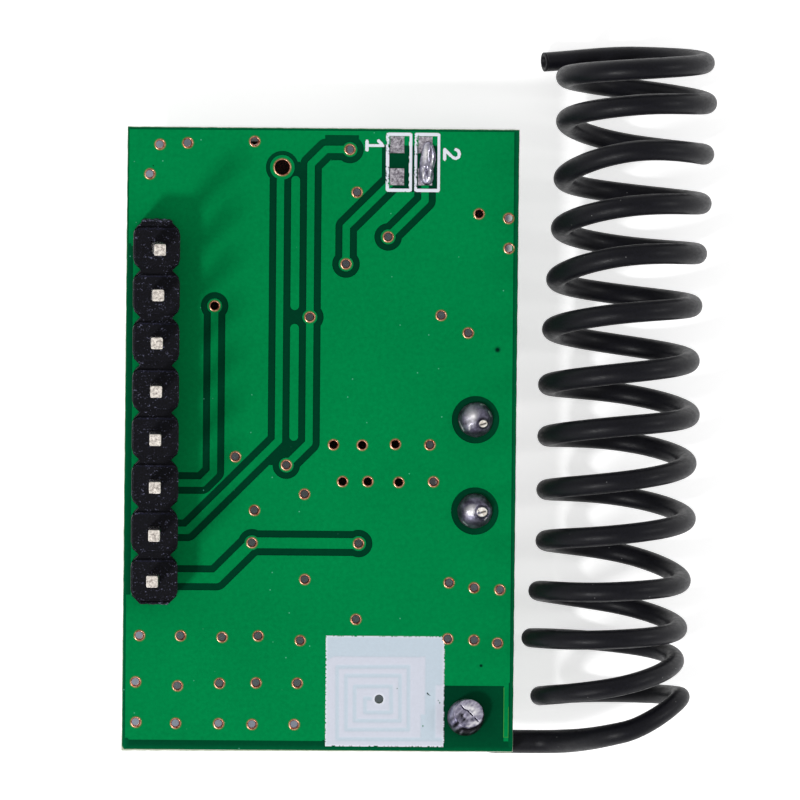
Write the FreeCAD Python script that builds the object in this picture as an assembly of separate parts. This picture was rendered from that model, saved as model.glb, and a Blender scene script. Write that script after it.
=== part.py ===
import FreeCAD, Part
import math
import os

from FreeCAD import Vector

# Superheterodyne receiver module: a small printed board whose solder side looks up.
# It carries an eight-pin header on the left, a wound wire antenna along the right edge,
# and its crystal, chips, capacitor and passives hang from the component side below.
# Millimetres. The origin is the middle of the header row on the solder face;
# +X runs across the board towards the antenna, +Y up the board, +Z out of the solder face.

# Board
board_width = 20.8
board_height = 33.3
board_thickness = 1.2
row_from_left_edge = 1.5
row_from_top_edge = 15.2
rest_depth = 3.7

# Copper and ink on the solder face, each height counted from the laminate
copper_height = 0.04
pad_height = 0.06
ink_height = 0.07
pour_left_inset = 0.15
pour_right_inset = 0.22
pour_top_inset = 0.06
pour_bottom_inset = 0.55
track_width = 0.4
wide_track_width = 0.58
track_gap = 0.38
via_hole_radius = 0.24
via_pad_radius = 0.4
via_clear_radius = 0.74

# Header
pin_count = 8
pin_pitch = 2.54
pin_width = 0.64
pin_above_housing = 6.0
pin_tail = 1.8
pin_end_bevel = 0.06
pin_hole_radius = 0.5
housing_width = 2.5
housing_height = 2.54
housing_notch = 0.42
housing_groove_width = 0.5
housing_groove_depth = 0.2
housing_stub = 0.28
housing_top_bevel = 0.09
fillet_foot_radius = 0.85
fillet_tip_radius = 0.5
fillet_height = 0.9

# Free plated hole, the etched tracks and the vias
large_hole_radius = 0.42
large_hole_pad_radius = 0.66
large_hole_clear_radius = 0.88
large_hole_from_top = 2.04
large_hole_beside_column = 0.09
stitching_vias = [
    (-0.75, -12.01), (1.45, -12.01), (3.68, -12.07), (5.61, -11.99), (7.87, -12.22),
    (-0.94, -14.5), (1.31, -14.7), (3.56, -14.55), (5.52, -14.51), (7.73, -14.51),
    (-0.91, -16.66), (1.22, -16.71), (3.53, -16.71), (5.32, -16.74), (7.58, -16.73),
]
chip_vias = [
    (9.57, -1.7), (11.11, -1.71), (12.89, -1.65), (14.74, -1.67),
    (10.07, -3.67), (11.43, -3.66), (13.09, -3.69), (14.95, -3.65),
]
edge_vias = [
    (15.83, -9.06), (17.17, -9.32), (18.56, -9.42),
    (15.78, -12.07), (17.19, -12.13), (18.46, -12.28),
    (18.87, 10.51), (18.9, 8.9), (16.75, 4.35),
]
ground_vias = [
    (0.15, 14.34), (1.64, 14.43), (-0.38, 12.75), (5.22, 14.54), (10.73, 11.85),
    (17.28, 10.74), (15.29, 5.28), (4.32, -2.38), (8.04, -4.36), (5.36, -5.25),
    (8.09, -8.94), (10.85, -11.06), (12.12, -15.33),
]
regulator_pin = 6
hole_pin = 7
wide_pin = 8
hole_track_column = 6.62
hole_track_turn = 4.85
column_spacing = 1.63
long_track_start_reach = 2.08
long_track_start_from_top = 1.06
long_track_mid_from_top = 10.06
long_track_end_from_top = 18.01
long_track_end_shift = 1.2
long_track_corner = 0.8
finger_below_hole = 0.46
finger_via_gap = 0.37
valley_rise = 0.3
start_clear_rise = 0.77
start_clear_reach = 0.47
regulator_track_column = 3.14
regulator_track_corner = 0.6
regulator_track_rise = 9.51
wide_track_rise = 1.9
wide_track_column = 5.24
wide_track_reach = 5.72
left_jumper_shift = 2.7
left_jumper_drop = 4.7
right_jumper_shift = 1.96
right_jumper_drop = 3.23

# Solder jumpers
frame_width = 1.4
frame_height = 3.16
frame_line = 0.18
frame_spacing = 1.51
frame_from_left = 13.77
frame_from_top = 0.14
pad_width = 0.75
pad_length = 0.9
pad_pitch = 1.72
pad_from_frame_left = 0.22
pad_from_frame_foot = 0.35
jumper_clear_margin = 0.22
jumper_clear_from_top = 0.82
bridge_radius = 0.4
bridge_height = 0.34
bridge_offset = 0.08

# White ink block with the printed spiral under it, and the antenna's copper-free corner
block_from_left = 10.7
block_width = 6.4
block_from_bottom = 0.25
block_height = 5.9
block_clear_inset = 0.15
spiral_inset_left = 0.92
spiral_inset_right = 2.14
spiral_inset_top = 1.92
spiral_inset_bottom = 0.63
spiral_pitch = 0.48
spiral_line = 0.26
spiral_turns = 3
spiral_hook = 0.45
feed_band_gap = 0.21
feed_band_width = 0.8
feed_band_inset_top = 1.15
corner_strip_width = 0.4
corner_clear_height = 3.52
corner_clear_from_right = 0.48

# Wire antenna, wound in the air beside the board
wire_diameter = 1.15
coil_diameter = 8.7
coil_gap = 1.15
coil_lean = 0.044
coil_above_board = 3.73
# each turn's fall from the right bend to its front, left bend, back and next right bend
turn_drops = [
    (0.33, 0.48, 0.71, 0.64), (0.07, 0.94, 1.33, 0.41),
    (-0.21, 1.54, 0.91, 0.4), (0.08, 1.29, 1.05, 0.27),
    (0.05, 1.36, 0.91, 0.48), (0.34, 0.96, 0.91, 0.73),
    (0.62, 0.72, 0.53, 1.04), (0.55, 0.65, 0.32, 1.08),
    (0.91, 0.57, 0.39, 1.1), (0.78, 0.46, 0.67, 1.41),
    (0.52, 0.1, 0.72, 1.23), (0.51, 0.04, 0.35, 0.81),
    (1.4, 0.58, -0.19, 0.18)]
free_end_reach = 0.83
free_end_rise = 0.27
lead_crest_shift = 1.05
lead_crest_drop = 1.9
lead_crest_rise = 2.1
lead_board_gap = 0.08
lead_edge_reach = 1.3
lead_bend_radius = 1.5
lead_bend_turn = 60.0
tail_diameter = 0.7
tail_bend_radius = 0.68
tail_hole_radius = 0.5
antenna_hole_from_right = 2.53
antenna_hole_from_bottom = 1.81
mound_foot_radius = 0.975
mound_top_radius = 0.735
mound_height = 0.9
mound_shift = (0.19, 0.25)
mound_cover = 0.12

# Crystal
crystal_from_right = 2.12
crystal_below_row_middle = 2.75
crystal_pitch = 4.9
crystal_can_length = 10.4
crystal_can_width = 3.6
crystal_flange_length = 11.2
crystal_flange_width = 4.2
crystal_flange_height = 0.4
crystal_can_round = 0.5
crystal_lead_diameter = 0.43
crystal_lead_lean = 0.17
crystal_hole_radius = 0.5
dome_radius = 0.935
dome_height = 0.75
dome_clear_radius = 1.275
lead_end_above_dome = 0.12

# Chips with gull-wing leads
chip_to_crystal = 1.36
decoder_beside_hole = 0.15
decoder_below_hole = 0.95
chip_length = 4.9
chip_width = 3.9
chip_height = 1.45
chip_standoff = 0.12
chip_draft = 0.14
chip_span = 6.0
chip_lead_pitch = 1.27
chip_lead_width = 0.42
chip_lead_thickness = 0.2
chip_lead_foot = 0.6
chip_leads_per_side = 4
chip_dot_radius = 0.3
chip_dot_depth = 0.08
regulator_above_via = 0.3
regulator_length = 2.9
regulator_width = 1.3
regulator_height = 1.0
regulator_span = 2.5
regulator_lead_pitch = 0.95
regulator_lead_width = 0.4
regulator_lead_foot = 0.35

# Chip capacitor can
can_beside_regulator = 0.59
can_below_regulator = 4.55
can_diameter = 4.0
can_edge_round = 0.3
can_groove_depth = 0.2
can_groove_width = 0.5
can_groove_from_base = 0.55
can_base_size = 4.3
can_base_height = 0.5
can_base_corner = 0.7
can_foot_width = 0.6
can_foot_length = 1.7
can_foot_height = 0.1
can_foot_overhang = 0.35

# Chip passives, lying along X or along Y; places count from the middle of a chip
chip_part_length = 1.6
chip_part_width = 0.8
chip_part_height = 0.5
chip_end_length = 0.32
inductor_length = 2.0
inductor_width = 1.25
inductor_height = 0.9
inductor_end_length = 0.4
inductor_from_right = 2.02
inductor_from_top = 4.46
receiver_capacitors = [(-3.07, -3.88), (1.63, -3.68), (-1.87, 3.92), (1.13, 3.92)]
decoder_capacitors = [(0.14, -5.01), (6.44, -6.21)]
decoder_resistors = [(-4.56, -3.31), (7.04, -3.21)]
receiver_resistor = (0.13, -10.28)
tall_resistors = [(2.13, -7.68), (-0.77, 8.32)]

# Worked out from the sizes above
board_left = -row_from_left_edge
board_right = board_left + board_width
board_top = row_from_top_edge
board_bottom = board_top - board_height
under = -board_thickness
rest_level = under - rest_depth
row_half = (pin_count - 1) / 2.0 * pin_pitch
pour_bottom = board_bottom + pour_bottom_inset
above = max(copper_height, pad_height, ink_height)
long_track_column = hole_track_column + column_spacing
large_hole = (hole_track_column + large_hole_beside_column, board_top - large_hole_from_top)
left_frame_corner = (board_left + frame_from_left, board_top - frame_from_top - frame_height)
block_left = board_left + block_from_left
block_right = block_left + block_width
block_bottom = board_bottom + block_from_bottom
block_top = block_bottom + block_height
corner_clear_top = board_bottom + corner_clear_height
corner_clear_right = board_right - corner_clear_from_right
wire_radius = wire_diameter / 2.0
wind_radius = coil_diameter / 2.0 - wire_radius
coil_x = board_right + coil_gap + coil_diameter / 2.0
coil_z = rest_level + coil_diameter / 2.0
coil_top = board_top + coil_above_board
antenna_hole = (board_right - antenna_hole_from_right, board_bottom + antenna_hole_from_bottom)
crystal_x = board_right - crystal_from_right
crystal_y = -crystal_below_row_middle
receiver_chip = (crystal_x - crystal_flange_width / 2.0 - chip_to_crystal - chip_length / 2.0,
                 crystal_y)
decoder_chip = (large_hole[0] + decoder_beside_hole, large_hole[1] - decoder_below_hole)
inductor_place = (board_right - inductor_from_right, board_top - inductor_from_top)


def pin_y(number):
    """Where pin 1 to pin_count stands along the row, pin 1 at the top."""
    return row_half - (number - 1) * pin_pitch


def slab(x0, y0, x1, y1, z0, z1):
    """A plain box between two corners."""
    return Part.makeBox(x1 - x0, y1 - y0, z1 - z0, Vector(x0, y0, z0))


def disc(place, radius, z0, z1):
    """A round plug along Z."""
    return Part.makeCylinder(radius, z1 - z0, Vector(place[0], place[1], z0))


def prism(points, z0, z1):
    """A closed outline in XY, carried from z0 to z1."""
    corners = [Vector(x, y, z0) for x, y in points]
    outline = Part.makePolygon(corners + [corners[0]])
    return Part.Face(outline).extrude(Vector(0, 0, z1 - z0))


def strip(points, width, z0, z1):
    """A track of constant width with round corners and ends."""
    pieces = [disc(point, width / 2.0, z0, z1) for point in points]
    for start, end in zip(points, points[1:]):
        run = Vector(end[0] - start[0], end[1] - start[1], 0)
        side = Vector(-run.y, run.x, 0).normalize() * (width / 2.0)
        foot = Vector(start[0], start[1], 0)
        corners = [foot + side, foot - side, foot - side + run, foot + side + run]
        pieces.append(prism([(corner.x, corner.y) for corner in corners], z0, z1))
    return pieces[0].fuse(pieces[1:]).removeSplitter()


def joined(pieces):
    """Pieces that melt into one solid."""
    return pieces[0].fuse(pieces[1:]).removeSplitter()


def turned(shape, place, quarter):
    """A shape drawn about the origin, put at a place, lying along Y if quarter is 1."""
    copy = shape.copy()
    copy.rotate(Vector(0, 0, 0), Vector(0, 0, 1), 90.0 * quarter)
    copy.translate(Vector(place[0], place[1], 0))
    return copy


def save(name, shape):
    """One file for each named piece."""
    shape.exportStep("parts/" + name + ".step")
    print(name, len(shape.Solids), "solids", round(shape.Volume, 3), "mm3", shape.isValid())


# Holes

def pin_places():
    return [(0.0, pin_y(number)) for number in range(1, pin_count + 1)]


def crystal_places():
    return [(crystal_x, crystal_y + side * crystal_pitch / 2.0) for side in (1, -1)]


long_track_start_via = (long_track_column + long_track_start_reach,
                        board_top - long_track_start_from_top)
long_track_mid_via = (long_track_column, board_top - long_track_mid_from_top)
long_track_end_via = (long_track_column - long_track_end_shift,
                      board_top - long_track_end_from_top)
regulator_via = (regulator_track_column, pin_y(regulator_pin) + regulator_track_rise)
wide_start_via = (wide_track_column, pin_y(wide_pin) + wide_track_rise)
wide_end_via = (wide_track_column + wide_track_reach, wide_start_via[1])
regulator = (regulator_track_column, regulator_via[1] + regulator_above_via)
can_place = (regulator[0] + can_beside_regulator, regulator[1] - can_below_regulator)


def pad_corner(frame, row):
    """Lower left corner of a jumper pad: frame 0 or 1, row 0 below and 1 above."""
    return (left_frame_corner[0] + frame * frame_spacing + pad_from_frame_left,
            left_frame_corner[1] + pad_from_frame_foot + row * pad_pitch)


def pad_centre(frame, row):
    corner = pad_corner(frame, row)
    return (corner[0] + pad_width / 2.0, corner[1] + pad_length / 2.0)


def jumper_via(frame):
    x, y = pad_centre(frame, 0)
    if frame == 0:
        return (x - left_jumper_shift, y - left_jumper_drop)
    return (x - right_jumper_shift, y - right_jumper_drop)


def track_vias():
    return [
        long_track_start_via, long_track_mid_via, long_track_end_via, regulator_via,
        wide_start_via, wide_end_via, jumper_via(0), jumper_via(1),
    ]


def via_places():
    return stitching_vias + chip_vias + edge_vias + ground_vias + track_vias()


def via_holes(z0, z1):
    return [disc(place, via_hole_radius, z0, z1) for place in via_places()]


def mounting_holes(z0, z1):
    holes = [disc(place, pin_hole_radius, z0, z1) for place in pin_places()]
    holes += [disc(place, crystal_hole_radius, z0, z1) for place in crystal_places()]
    holes.append(disc(antenna_hole, tail_hole_radius, z0, z1))
    holes.append(disc(large_hole, large_hole_radius, z0, z1))
    return holes


# Board laminate with every drilled hole

def circuit_board():
    laminate = slab(board_left, board_bottom, board_right, board_top, under, 0)
    return laminate.cut(Part.makeCompound(via_holes(under, 0) + mounting_holes(under, 0)))


# Tracks etched out of the copper pour, each with its gap

def hole_path():
    turn = hole_track_turn
    return [large_hole, (hole_track_column, large_hole[1] - large_hole_pad_radius),
            (hole_track_column, pin_y(hole_pin) + turn), (hole_track_column - turn, pin_y(hole_pin)),
            (0, pin_y(hole_pin))]


def long_path():
    start = long_track_start_via
    mid = long_track_mid_via
    end = long_track_end_via
    return [start, (long_track_column + long_track_corner, start[1]),
            (long_track_column, start[1] - long_track_corner), mid,
            (long_track_column, end[1] + long_track_column - end[0]), end]


def regulator_path():
    start = pin_y(regulator_pin)
    return [(0, start), (regulator_track_column - regulator_track_corner, start),
            (regulator_track_column, start + regulator_track_corner),
            (regulator_track_column, regulator_via[1] - via_clear_radius), regulator_via]


def wide_path():
    start = pin_y(wide_pin)
    turn = wide_start_via[1] - start
    return [(0, start), (wide_start_via[0] - turn, start), wide_start_via, wide_end_via]


def left_jumper_path():
    """Aslant from the pad, then straight down to the via."""
    pad = pad_centre(0, 0)
    via = jumper_via(0)
    return [pad, (via[0], pad[1] - left_jumper_shift), via]


def right_jumper_path():
    """Straight down from the pad, then aslant to the via."""
    pad = pad_centre(1, 0)
    via = jumper_via(1)
    return [pad, (pad[0], via[1] + right_jumper_shift), via]


def narrow_paths():
    return [hole_path(), long_path(), regulator_path(), left_jumper_path(), right_jumper_path()]


def pour_gaps():
    """Everything that is etched out of the pour."""
    gap_width = track_width + 2 * track_gap
    cuts = [strip(path, gap_width, 0, copper_height) for path in narrow_paths()]
    cuts.append(strip(wide_path(), wide_track_width + 2 * track_gap, 0, copper_height))
    cuts += [disc(place, via_clear_radius, 0, copper_height) for place in track_vias()]
    cuts.append(disc(large_hole, large_hole_clear_radius, 0, copper_height))
    cuts += [disc(place, dome_clear_radius, 0, copper_height) for place in crystal_places()]
    # the copper between the two long tracks goes too, down to where they part
    left, right = between_tracks()
    foot = pin_y(hole_pin) + hole_track_turn
    cuts.append(slab(left, foot, right, large_hole[1] + valley_rise, 0, copper_height))
    aslant = foot - long_track_end_via[1]
    cuts.append(prism([(left, foot), (right, foot), (right - aslant, foot - aslant),
                       (left - aslant, foot - aslant)], 0, copper_height))
    # above the long track's start the gap widens up to a straight edge
    start = long_track_start_via
    aside = long_track_column + long_track_corner + start_clear_rise - gap_width / math.sqrt(2.0)
    cuts.append(slab(aside, start[1], start[0] + start_clear_reach, start[1] + start_clear_rise,
                     0, copper_height))
    cuts.append(slab(left_frame_corner[0] - jumper_clear_margin, left_frame_corner[1],
                     left_frame_corner[0] + frame_spacing + frame_width - frame_line / 2.0,
                     board_top - jumper_clear_from_top, 0, copper_height))
    cuts += [pad_box(frame, row, copper_height) for frame in (0, 1) for row in (0, 1)]
    cuts.append(slab(block_left + block_clear_inset, pour_bottom - above,
                     block_right, block_top - block_clear_inset, 0, copper_height))
    cuts.append(slab(block_right - block_clear_inset, pour_bottom - above,
                     corner_clear_right, corner_clear_top, 0, copper_height))
    # bare strip beside the header, outside the row of pins
    cuts.append(slab(board_left, pin_y(pin_count) - pin_pitch / 2.0,
                     -housing_width / 2.0, pin_y(1), 0, copper_height))
    cuts += [disc(place, fillet_foot_radius, 0, copper_height) for place in pin_places()]
    return cuts


def between_tracks():
    """The left and right edge of the copper between the hole track and the long track."""
    reach = track_width / 2.0 + track_gap
    return hole_track_column + reach, long_track_column - reach


def pour_fingers():
    """Two round-ended islands that stay between the long tracks, parted at the middle via."""
    left, right = between_tracks()
    middle, radius = (left + right) / 2.0, (right - left) / 2.0
    spans = [(large_hole[1] - finger_below_hole, long_track_mid_via[1] + finger_via_gap),
             (long_track_mid_via[1] - finger_via_gap, pin_y(hole_pin) + hole_track_turn)]
    return [strip([(middle, top - radius), (middle, foot + radius)], 2 * radius, 0, copper_height)
            for top, foot in spans]


def ground_pour():
    sheet = slab(board_left + pour_left_inset, pour_bottom,
                 board_right - pour_right_inset, board_top - pour_top_inset, 0, copper_height)
    sheet = sheet.cut(Part.makeCompound(via_holes(0, copper_height)))
    for cut in pour_gaps():
        sheet = sheet.cut(cut)
    return Part.makeCompound(sheet.Solids + pour_fingers())


def signal_tracks():
    tracks = []
    plan = [(path, track_width) for path in narrow_paths()]
    plan.append((wide_path(), wide_track_width))
    for path, width in plan:
        pieces = [strip(path, width, 0, copper_height)]
        for place in track_vias():
            if place in path:
                pieces.append(disc(place, via_pad_radius, 0, copper_height))
        if large_hole in path:
            pieces.append(disc(large_hole, large_hole_pad_radius, 0, copper_height))
        track = joined(pieces)
        track = track.cut(Part.makeCompound(via_holes(0, copper_height)))
        track = track.cut(Part.makeCompound(mounting_holes(0, copper_height)))
        for frame in (0, 1):
            track = track.cut(pad_box(frame, 0, copper_height))
        tracks += track.Solids
    return Part.makeCompound(tracks)


# Printed coil: a square spiral of three turns with its feed band and the strip beside it

def spiral_path():
    left = block_left + spiral_inset_left
    right = block_right - spiral_inset_right
    top = block_top - spiral_inset_top
    bottom = block_bottom + spiral_inset_bottom
    points = [(right + spiral_line / 2.0 + feed_band_gap + spiral_line, bottom)]
    for turn in range(spiral_turns):
        inset = turn * spiral_pitch
        points.append((left + inset, bottom + inset))
        if turn < spiral_turns - 1:
            points.append((left + inset, top - inset))
            points.append((right - inset, top - inset))
            points.append((right - inset, bottom + inset + spiral_pitch))
    inset = (spiral_turns - 1) * spiral_pitch
    hook_y = (top + bottom) / 2.0
    points.append((left + inset, hook_y))
    points.append((left + inset + spiral_hook, hook_y))
    return points


def spiral_inductor():
    spiral = strip(spiral_path(), spiral_line, 0, copper_height)
    bottom = block_bottom + spiral_inset_bottom - spiral_line / 2.0
    band_left = block_right - spiral_inset_right + spiral_line / 2.0 + feed_band_gap
    band = slab(band_left, bottom, band_left + feed_band_width,
                block_top - feed_band_inset_top, 0, copper_height)
    edge = slab(block_right - corner_strip_width, bottom, block_right, corner_clear_top,
                0, copper_height)
    copper = Part.makeCompound([joined([spiral, band]), edge])
    return copper.cut(Part.makeCompound(via_holes(0, copper_height)))


# White ink: the block over the printed coil and the two jumper frames

def legend_block(pour, spiral):
    block = slab(block_left, block_bottom, block_right, block_top, 0, ink_height)
    block = block.cut(Part.makeCompound(via_holes(0, ink_height)))
    return block.cut(pour).cut(spiral)


def jumper_frames(pour, tracks):
    frames = []
    for frame in (0, 1):
        x0 = left_frame_corner[0] + frame * frame_spacing
        y0 = left_frame_corner[1]
        outer = slab(x0, y0, x0 + frame_width, y0 + frame_height, 0, ink_height)
        inner = slab(x0 + frame_line, y0 + frame_line, x0 + frame_width - frame_line,
                     y0 + frame_height - frame_line, 0, ink_height)
        frames.append(outer.cut(inner).cut(pour).cut(tracks))
    return Part.makeCompound(frames)


# Solder jumpers: four tinned pads, the right pair bridged

def pad_box(frame, row, height):
    x0, y0 = pad_corner(frame, row)
    return slab(x0, y0, x0 + pad_width, y0 + pad_length, 0, height)


def jumper_pads():
    return Part.makeCompound([pad_box(f, r, pad_height) for f in (0, 1) for r in (0, 1)])


def solder_bridge():
    low = pad_centre(1, 0)
    high = pad_centre(1, 1)
    centre_z = pad_height + bridge_height - bridge_radius
    foot = Vector(low[0] + bridge_offset, low[1], centre_z)
    run = high[1] - low[1]
    pieces = [Part.makeCylinder(bridge_radius, run, foot, Vector(0, 1, 0))]
    pieces.append(Part.makeSphere(bridge_radius, foot))
    pieces.append(Part.makeSphere(bridge_radius, foot + Vector(0, run, 0)))
    reach = 2 * bridge_radius
    block = slab(low[0] - reach, low[1] - reach, low[0] + reach, high[1] + reach,
                 pad_height, pad_height + reach)
    return joined(pieces).common(block)


# Header: eight notched cells in one moulding, broken off a longer strip at both ends

def housing_outline():
    half = housing_width / 2.0
    neck = half - housing_notch
    side = []
    for number in range(1, pin_count + 1):
        top = pin_y(number) + pin_pitch / 2.0
        bottom = pin_y(number) - pin_pitch / 2.0
        side += [(neck, top), (half, top - housing_notch), (half, bottom + housing_notch)]
    side.append((neck, -row_half - pin_pitch / 2.0))
    side = [(side[0][0], side[0][1] + housing_stub)] + side
    side.append((neck, side[-1][1] - housing_stub))
    return side + [(-x, y) for x, y in reversed(side)]


def header_housing():
    body = prism(housing_outline(), copper_height, housing_height)
    top_edges = [edge for edge in body.Edges
                 if edge.BoundBox.ZMin > housing_height - housing_top_bevel]
    body = body.makeChamfer(housing_top_bevel, top_edges)
    cuts = []
    for number in range(0, pin_count + 1):
        middle = row_half + pin_pitch / 2.0 - number * pin_pitch
        cuts.append(slab(-housing_width, middle - housing_groove_width / 2.0, housing_width,
                         middle + housing_groove_width / 2.0,
                         housing_height - housing_groove_depth, housing_height + above))
    half = pin_width / 2.0
    for x, y in pin_places():
        cuts.append(slab(x - half, y - half, x + half, y + half, 0, housing_height + above))
    return body.cut(Part.makeCompound(cuts))


def header_pin(number):
    half = pin_width / 2.0
    y = pin_y(number)
    top = housing_height + pin_above_housing
    pin = slab(-half, y - half, half, y + half, under - pin_tail, top)
    ends = [edge for edge in pin.Edges
            if edge.BoundBox.ZMin > top - pin_end_bevel
            or edge.BoundBox.ZMax < under - pin_tail + pin_end_bevel]
    return pin.makeChamfer(pin_end_bevel, ends)


def header_fillets():
    """Solder cones round the eight tails, on the component side."""
    cones = []
    half = pin_width / 2.0
    for x, y in pin_places():
        cone = Part.makeCone(fillet_foot_radius, fillet_tip_radius, fillet_height,
                             Vector(x, y, under), Vector(0, 0, -1))
        pin = slab(x - half, y - half, x + half, y + half, under - fillet_height, under)
        cones.append(cone.cut(pin))
    return Part.makeCompound(cones)


# Wire antenna: one length of jacketed wire, wound by hand

class Tube:
    """A round wire built up from runs and arcs that meet along one direction."""

    def __init__(self, start, heading, radius):
        self.point = start
        self.heading = heading.normalize()
        self.radius = radius
        self.ring = Part.Circle(start, self.heading, radius).toShape()
        self.faces = [Part.Face(Part.Wire(self.ring))]
        self.lengths = []
        self.total = 0.0

    def run(self, distance):
        """Straight on by a distance."""
        step = self.heading * distance
        self.faces.append(self.ring.extrude(step))
        self.ring = self.ring.translated(step)
        self.point = self.point + step
        self.total += distance

    def arc_to(self, end):
        """The one circular arc that leaves along the heading and passes through end."""
        chord = end - self.point
        side = chord - self.heading * chord.dot(self.heading)
        if side.Length < 1e-9:
            self.run(chord.Length)
            return
        side.normalize()
        reach = chord.dot(side)
        bend = chord.Length ** 2 / (2.0 * reach)
        turn = 2.0 * math.atan2(reach, chord.dot(self.heading))
        centre = self.point + side * bend
        axis = self.heading.cross(side)
        angle = math.degrees(turn)
        self.faces.append(self.ring.revolve(centre, axis, angle))
        self.ring = self.ring.rotated(centre, axis, angle)
        self.heading = FreeCAD.Rotation(axis, angle).multVec(self.heading).normalize()
        self.point = end
        self.total += bend * turn

    def bend_to(self, end, heading, parted=False):
        """Two tangent arcs that arrive at end along heading, in one length or parted."""
        heading = Vector(heading).normalize()
        chord = end - self.point
        both = self.heading + heading
        spread = 2.0 * (1.0 - self.heading.dot(heading))
        along = chord.dot(both)
        if spread < 1e-9:
            reach = chord.dot(chord) / (4.0 * chord.dot(heading))
        else:
            reach = (math.sqrt(along ** 2 + spread * chord.dot(chord)) - along) / spread
        first = self.point + self.heading * reach
        second = end - heading * reach
        self.arc_to((first + second) * 0.5)
        if parted:
            self.close_length()
        self.arc_to(end)

    def close_length(self):
        """Ends one length of the wire; the next one starts on the same round face."""
        end = Part.Face(Part.Wire(self.ring))
        shell = Part.makeShell(self.faces + [end])
        shell.sewShape()
        body = Part.makeSolid(shell)
        if body.Volume < 0:
            body.reverse()
        self.lengths.append(body)
        self.faces = [end.copy()]

    def solid(self):
        self.close_length()
        wire = Part.makeCompound(self.lengths) if len(self.lengths) > 1 else self.lengths[0]
        print("wire", round(self.total, 2), "mm long, volume against section times length",
              round(wire.Volume / (math.pi * self.radius ** 2 * self.total), 4))
        return wire


def axis_x(y):
    """The winding leans a little: its axis moves with the height on the board."""
    return coil_x + coil_lean * y


def wound(quarter, y):
    """The wire's middle after some quarter turns from the right bend: front, left, back, right."""
    side, rise = [(1, 0), (0, 1), (-1, 0), (0, -1)][quarter % 4]
    return Vector(axis_x(y) + side * wind_radius, y, coil_z + rise * wind_radius)


def winding_heading(quarter, fall):
    """Which way the wire runs there, where two quarters together fall by some height."""
    side, rise = [(1, 0), (0, 1), (-1, 0), (0, -1)][quarter % 4]
    return Vector(-rise, -fall / (math.pi * wind_radius), side)


def lead_level():
    return under - wire_radius - lead_board_gap


def jacket_end():
    """Where the bare wire starts, and the way it heads there."""
    turn = math.radians(lead_bend_turn)
    heading = Vector(-math.cos(turn), math.sin(turn), 0)
    hole = Vector(antenna_hole[0], antenna_hole[1], lead_level())
    return hole - heading * tail_bend_radius, heading


def antenna_coil():
    """The winding is parted between its quarters, so that each length is a plain short bend
    and the space inside the turns stays open to collision."""
    drops = [drop for turn in turn_drops for drop in turn]
    first_fall = 2.0 * drops[0]
    crest = wound(-1, coil_top + free_end_rise)
    free_end = wound(-2, coil_top) + Vector(-wire_radius - free_end_reach, 0, -wind_radius)
    free_heading = Vector(1, 2.0 * free_end_rise / (crest.x - free_end.x), 0)
    wire = Tube(free_end, free_heading, wire_radius)
    wire.bend_to(crest, Vector(1, 0, 0), True)
    wire.bend_to(wound(0, coil_top), winding_heading(0, first_fall), True)
    y = coil_top
    for quarter, drop in enumerate(drops, 1):
        y -= drop
        following = drops[quarter] if quarter < len(drops) else drop
        wire.bend_to(wound(quarter, y), winding_heading(quarter, drop + following), True)
    end, end_heading = jacket_end()
    turn = math.radians(lead_bend_turn)
    corner = end - Vector(-math.sin(turn), 1 - math.cos(turn), 0) * lead_bend_radius
    under_edge = Vector(board_right + lead_edge_reach, corner.y, corner.z)
    lead_crest = Vector(axis_x(y) + lead_crest_shift, y - lead_crest_drop,
                        coil_z + lead_crest_rise)
    fall = Vector(-1, (under_edge.y - lead_crest.y) / (lead_crest.x - under_edge.x), 0)
    wire.bend_to(lead_crest, fall, True)
    wire.bend_to(under_edge, Vector(-1, 0, 0), True)
    wire.close_length()
    wire.run(under_edge.x - corner.x)
    wire.close_length()
    wire.bend_to(end, end_heading)
    return wire.solid()


def antenna_tail():
    """The bare end turns up through its hole and stops inside the solder."""
    start, heading = jacket_end()
    wire = Tube(start, heading, tail_diameter / 2.0)
    wire.arc_to(Vector(antenna_hole[0], antenna_hole[1], lead_level() + tail_bend_radius))
    wire.run(mound_height - mound_cover - wire.point.z)
    return wire.solid()


def antenna_joint():
    """A solder mound cut off flat with the wire inside it."""
    foot = Part.Circle(Vector(antenna_hole[0], antenna_hole[1], 0), Vector(0, 0, 1),
                       mound_foot_radius)
    top_middle = Vector(antenna_hole[0] + mound_shift[0], antenna_hole[1] + mound_shift[1],
                        mound_height)
    top = Part.Circle(top_middle, Vector(0, 0, 1), mound_top_radius)
    mound = Part.makeLoft([Part.Wire(foot.toShape()), Part.Wire(top.toShape())], True, True)
    return mound.cut(disc(antenna_hole, tail_diameter / 2.0, 0, mound_height - mound_cover))


# Crystal: a flat-ended can on its flange, leads soldered on the solder side

def stadium(length, width, z0, z1):
    """A round-ended bar along Y about the crystal's middle."""
    reach = (length - width) / 2.0
    half = width / 2.0
    ends = [disc((crystal_x, crystal_y + side * reach), half, z0, z1) for side in (1, -1)]
    middle = slab(crystal_x - half, crystal_y - reach, crystal_x + half, crystal_y + reach, z0, z1)
    return joined([middle] + ends)


def crystal_base():
    return stadium(crystal_flange_length, crystal_flange_width,
                   under - crystal_flange_height, under)


def crystal_can():
    can = stadium(crystal_can_length, crystal_can_width, rest_level, under - crystal_flange_height)
    crown = [edge for edge in can.Edges if edge.BoundBox.ZMax < rest_level + crystal_can_round]
    return can.makeFillet(crystal_can_round, crown)


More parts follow.
